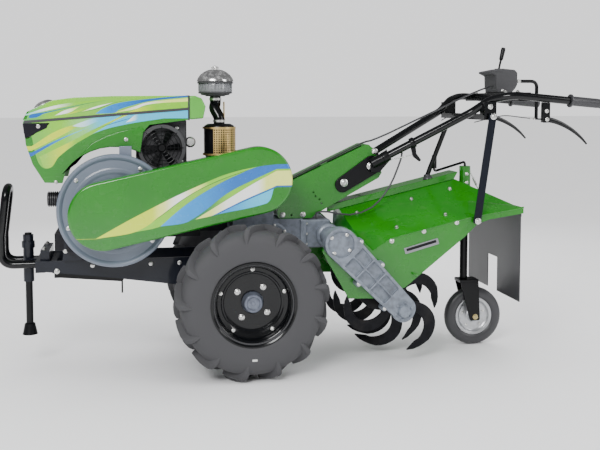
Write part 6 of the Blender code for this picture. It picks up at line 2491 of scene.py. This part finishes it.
    def blade(self, root: Vector, angle: float, bend: int) -> bpy.types.Object:
        """One blade as a bent plate.

        Args:
            root: The middle of its holder.
            angle: The way its root points.
            bend: The side it bends to, 1 or -1.

        Returns:
            The blade.
        """
        steps = 18
        bm = bmesh.new()
        rows = []
        for step in range(steps + 1):
            t = step / steps
            radius = 0.028 + (self.tips - 0.034) * math.sin(t * math.pi / 2 * 0.98)
            swept = angle - math.radians(self.sweep_back) * t**1.7
            half = 0.0165 + 0.01 * math.sin(math.pi * min(1.0, t * 1.12))
            if t >= 0.86:
                half = 0.0215 * (1 - ((t - 0.86) / 0.145) ** 1.6) + 0.0012
            shift = bend * 0.04 * max(0.0, t - 0.42) ** 1.5 / 0.58**1.5
            middle = Vector((math.cos(swept), 0.0, math.sin(swept))) * radius
            ahead = Vector((math.sin(swept), 0.0, -math.cos(swept)))
            way = (ahead * (0.25 + 1.1 * t) + middle.normalized() * (1.0 - 0.85 * t)).normalized()
            wide = Vector((0, 1, 0)).cross(way).normalized()
            lean = Vector((0, bend, 0)) * 0.55 * t
            edge = (wide + lean * 0.6).normalized()
            thick = way.cross(edge).normalized() * (0.0042 - 0.0022 * t)
            row = []
            for side, face in ((-1, -1), (1, -1), (1, 1), (-1, 1)):
                place = middle + Vector((0, shift, 0)) + edge * side * half + thick * face
                flat = math.hypot(place.x, place.z)
                if flat > self.tips:
                    place.x, place.z = place.x * self.tips / flat, place.z * self.tips / flat
                row.append(bm.verts.new(root + place))
            rows.append(row)
        for first, second in zip(rows, rows[1:]):
            bridge(bm, first, second)
        bm.faces.new(rows[0])
        bm.faces.new(rows[-1])
        return soften(piece("blade", bm, 40.0), 0.0012, 2, 40.0)


# ---------------------------------------------------------------- studio


@dataclass
class Studio:
    """The pale floor, the soft lights and the camera."""

    camera: tuple = (-0.7413, -3.9464, 1.1345)
    yaw: float = 10.7
    pitch: float = 4.055
    lens: float = 54.11
    shift: float = -0.1
    pale: Colour = (0.97, 0.97, 0.98)
    room: float = 0.22
    backdrop: float = 1.35
    overhead: float = 3.3
    lights: tuple = (  # name, place, aim, width, height, watts, mirrored
        ("key", (-2.2, -4.2, 3.4), (0.0, 0.0, 0.5), 2.0, 1.4, 210.0, True),
        ("side", (3.4, -2.4, 2.4), (0.3, 0.0, 0.5), 1.2, 2.2, 55.0, True),
        ("behind", (0.6, 3.6, 2.2), (0.0, 0.0, 0.6), 3.0, 1.4, 60.0, False),
    )

    def build(self) -> None:
        """Sets the stage."""
        bm = bmesh.new()
        bmesh.ops.create_grid(bm, x_segments=24, y_segments=24, size=60.0)
        floor = piece("floor", bm)
        floor.data.materials.append(self.ground())
        world = bpy.data.worlds.new("pale_room")
        world.use_nodes = True
        tree = world.node_tree
        back = tree.nodes["Background"]
        back.inputs["Color"].default_value = (*self.pale, 1.0)
        rays, level = tree.nodes.new("ShaderNodeLightPath"), tree.nodes.new("ShaderNodeMapRange")
        level.inputs["To Min"].default_value, level.inputs["To Max"].default_value = self.room, self.backdrop
        tree.links.new(rays.outputs["Is Camera Ray"], level.inputs["Value"])
        tree.links.new(level.outputs["Result"], back.inputs["Strength"])
        bpy.context.scene.world = world
        for name, place, aim, width, height, watts, mirrored in self.lights:
            data = bpy.data.lights.new(name, "AREA")
            data.shape, data.size, data.size_y, data.energy = "RECTANGLE", width, height, watts
            lamp = bpy.data.objects.new(name, data)
            lamp.location = place
            lamp.visible_glossy = mirrored
            lamp.visible_camera = False
            lamp.rotation_euler = (Vector(aim) - Vector(place)).to_track_quat("-Z", "Y").to_euler()
            show(lamp)
        data = bpy.data.lights.new("overhead", "SUN")
        data.energy, data.angle = self.overhead, math.radians(100.0)
        ceiling = bpy.data.objects.new("overhead", data)
        ceiling.visible_glossy = False
        show(ceiling)
        self.aim()

    def ground(self) -> bpy.types.Material:
        """The floor's matt finish, faintly uneven.

        Returns:
            The material.
        """
        nodes = Nodes("pale_floor")
        cloud = nodes.noise(1.6, 4.0)
        return nodes.surface(
            {
                "Base Color": nodes.mix(cloud, (0.88, 0.88, 0.89), (0.92, 0.92, 0.93)),
                "Roughness": 0.62 + nodes.noise(30.0) * 0.1,
                "Normal": nodes.bump(nodes.noise(240.0), 0.0003, 0.3),
            }
        )

    def aim(self) -> None:
        """Places the camera."""
        data = bpy.data.cameras.new("camera")
        data.sensor_width, data.lens, data.shift_y = 36.0, self.lens, self.shift
        data.dof.use_dof = False
        camera = bpy.data.objects.new("camera", data)
        camera.location = self.camera
        camera.rotation_euler = (math.radians(90.0 - self.pitch), 0.0, -math.radians(self.yaw))
        show(camera)
        bpy.context.scene.camera = camera


def main() -> None:
    """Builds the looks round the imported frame."""
    logging.basicConfig(level=logging.INFO, format="%(message)s")
    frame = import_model()
    shop = Workshop(frame)
    wheels = (DriveWheel("left", -1), DriveWheel("right", 1), TailWheel())
    assemblies = (*wheels, Front(), Engine(), Bonnet(), Exhaust(), Handle(), Tiller())
    for assembly in assemblies:
        assembly.build(shop)
    Fixings.make(shop)
    Studio().build()


if __name__ == "__main__":
    main()
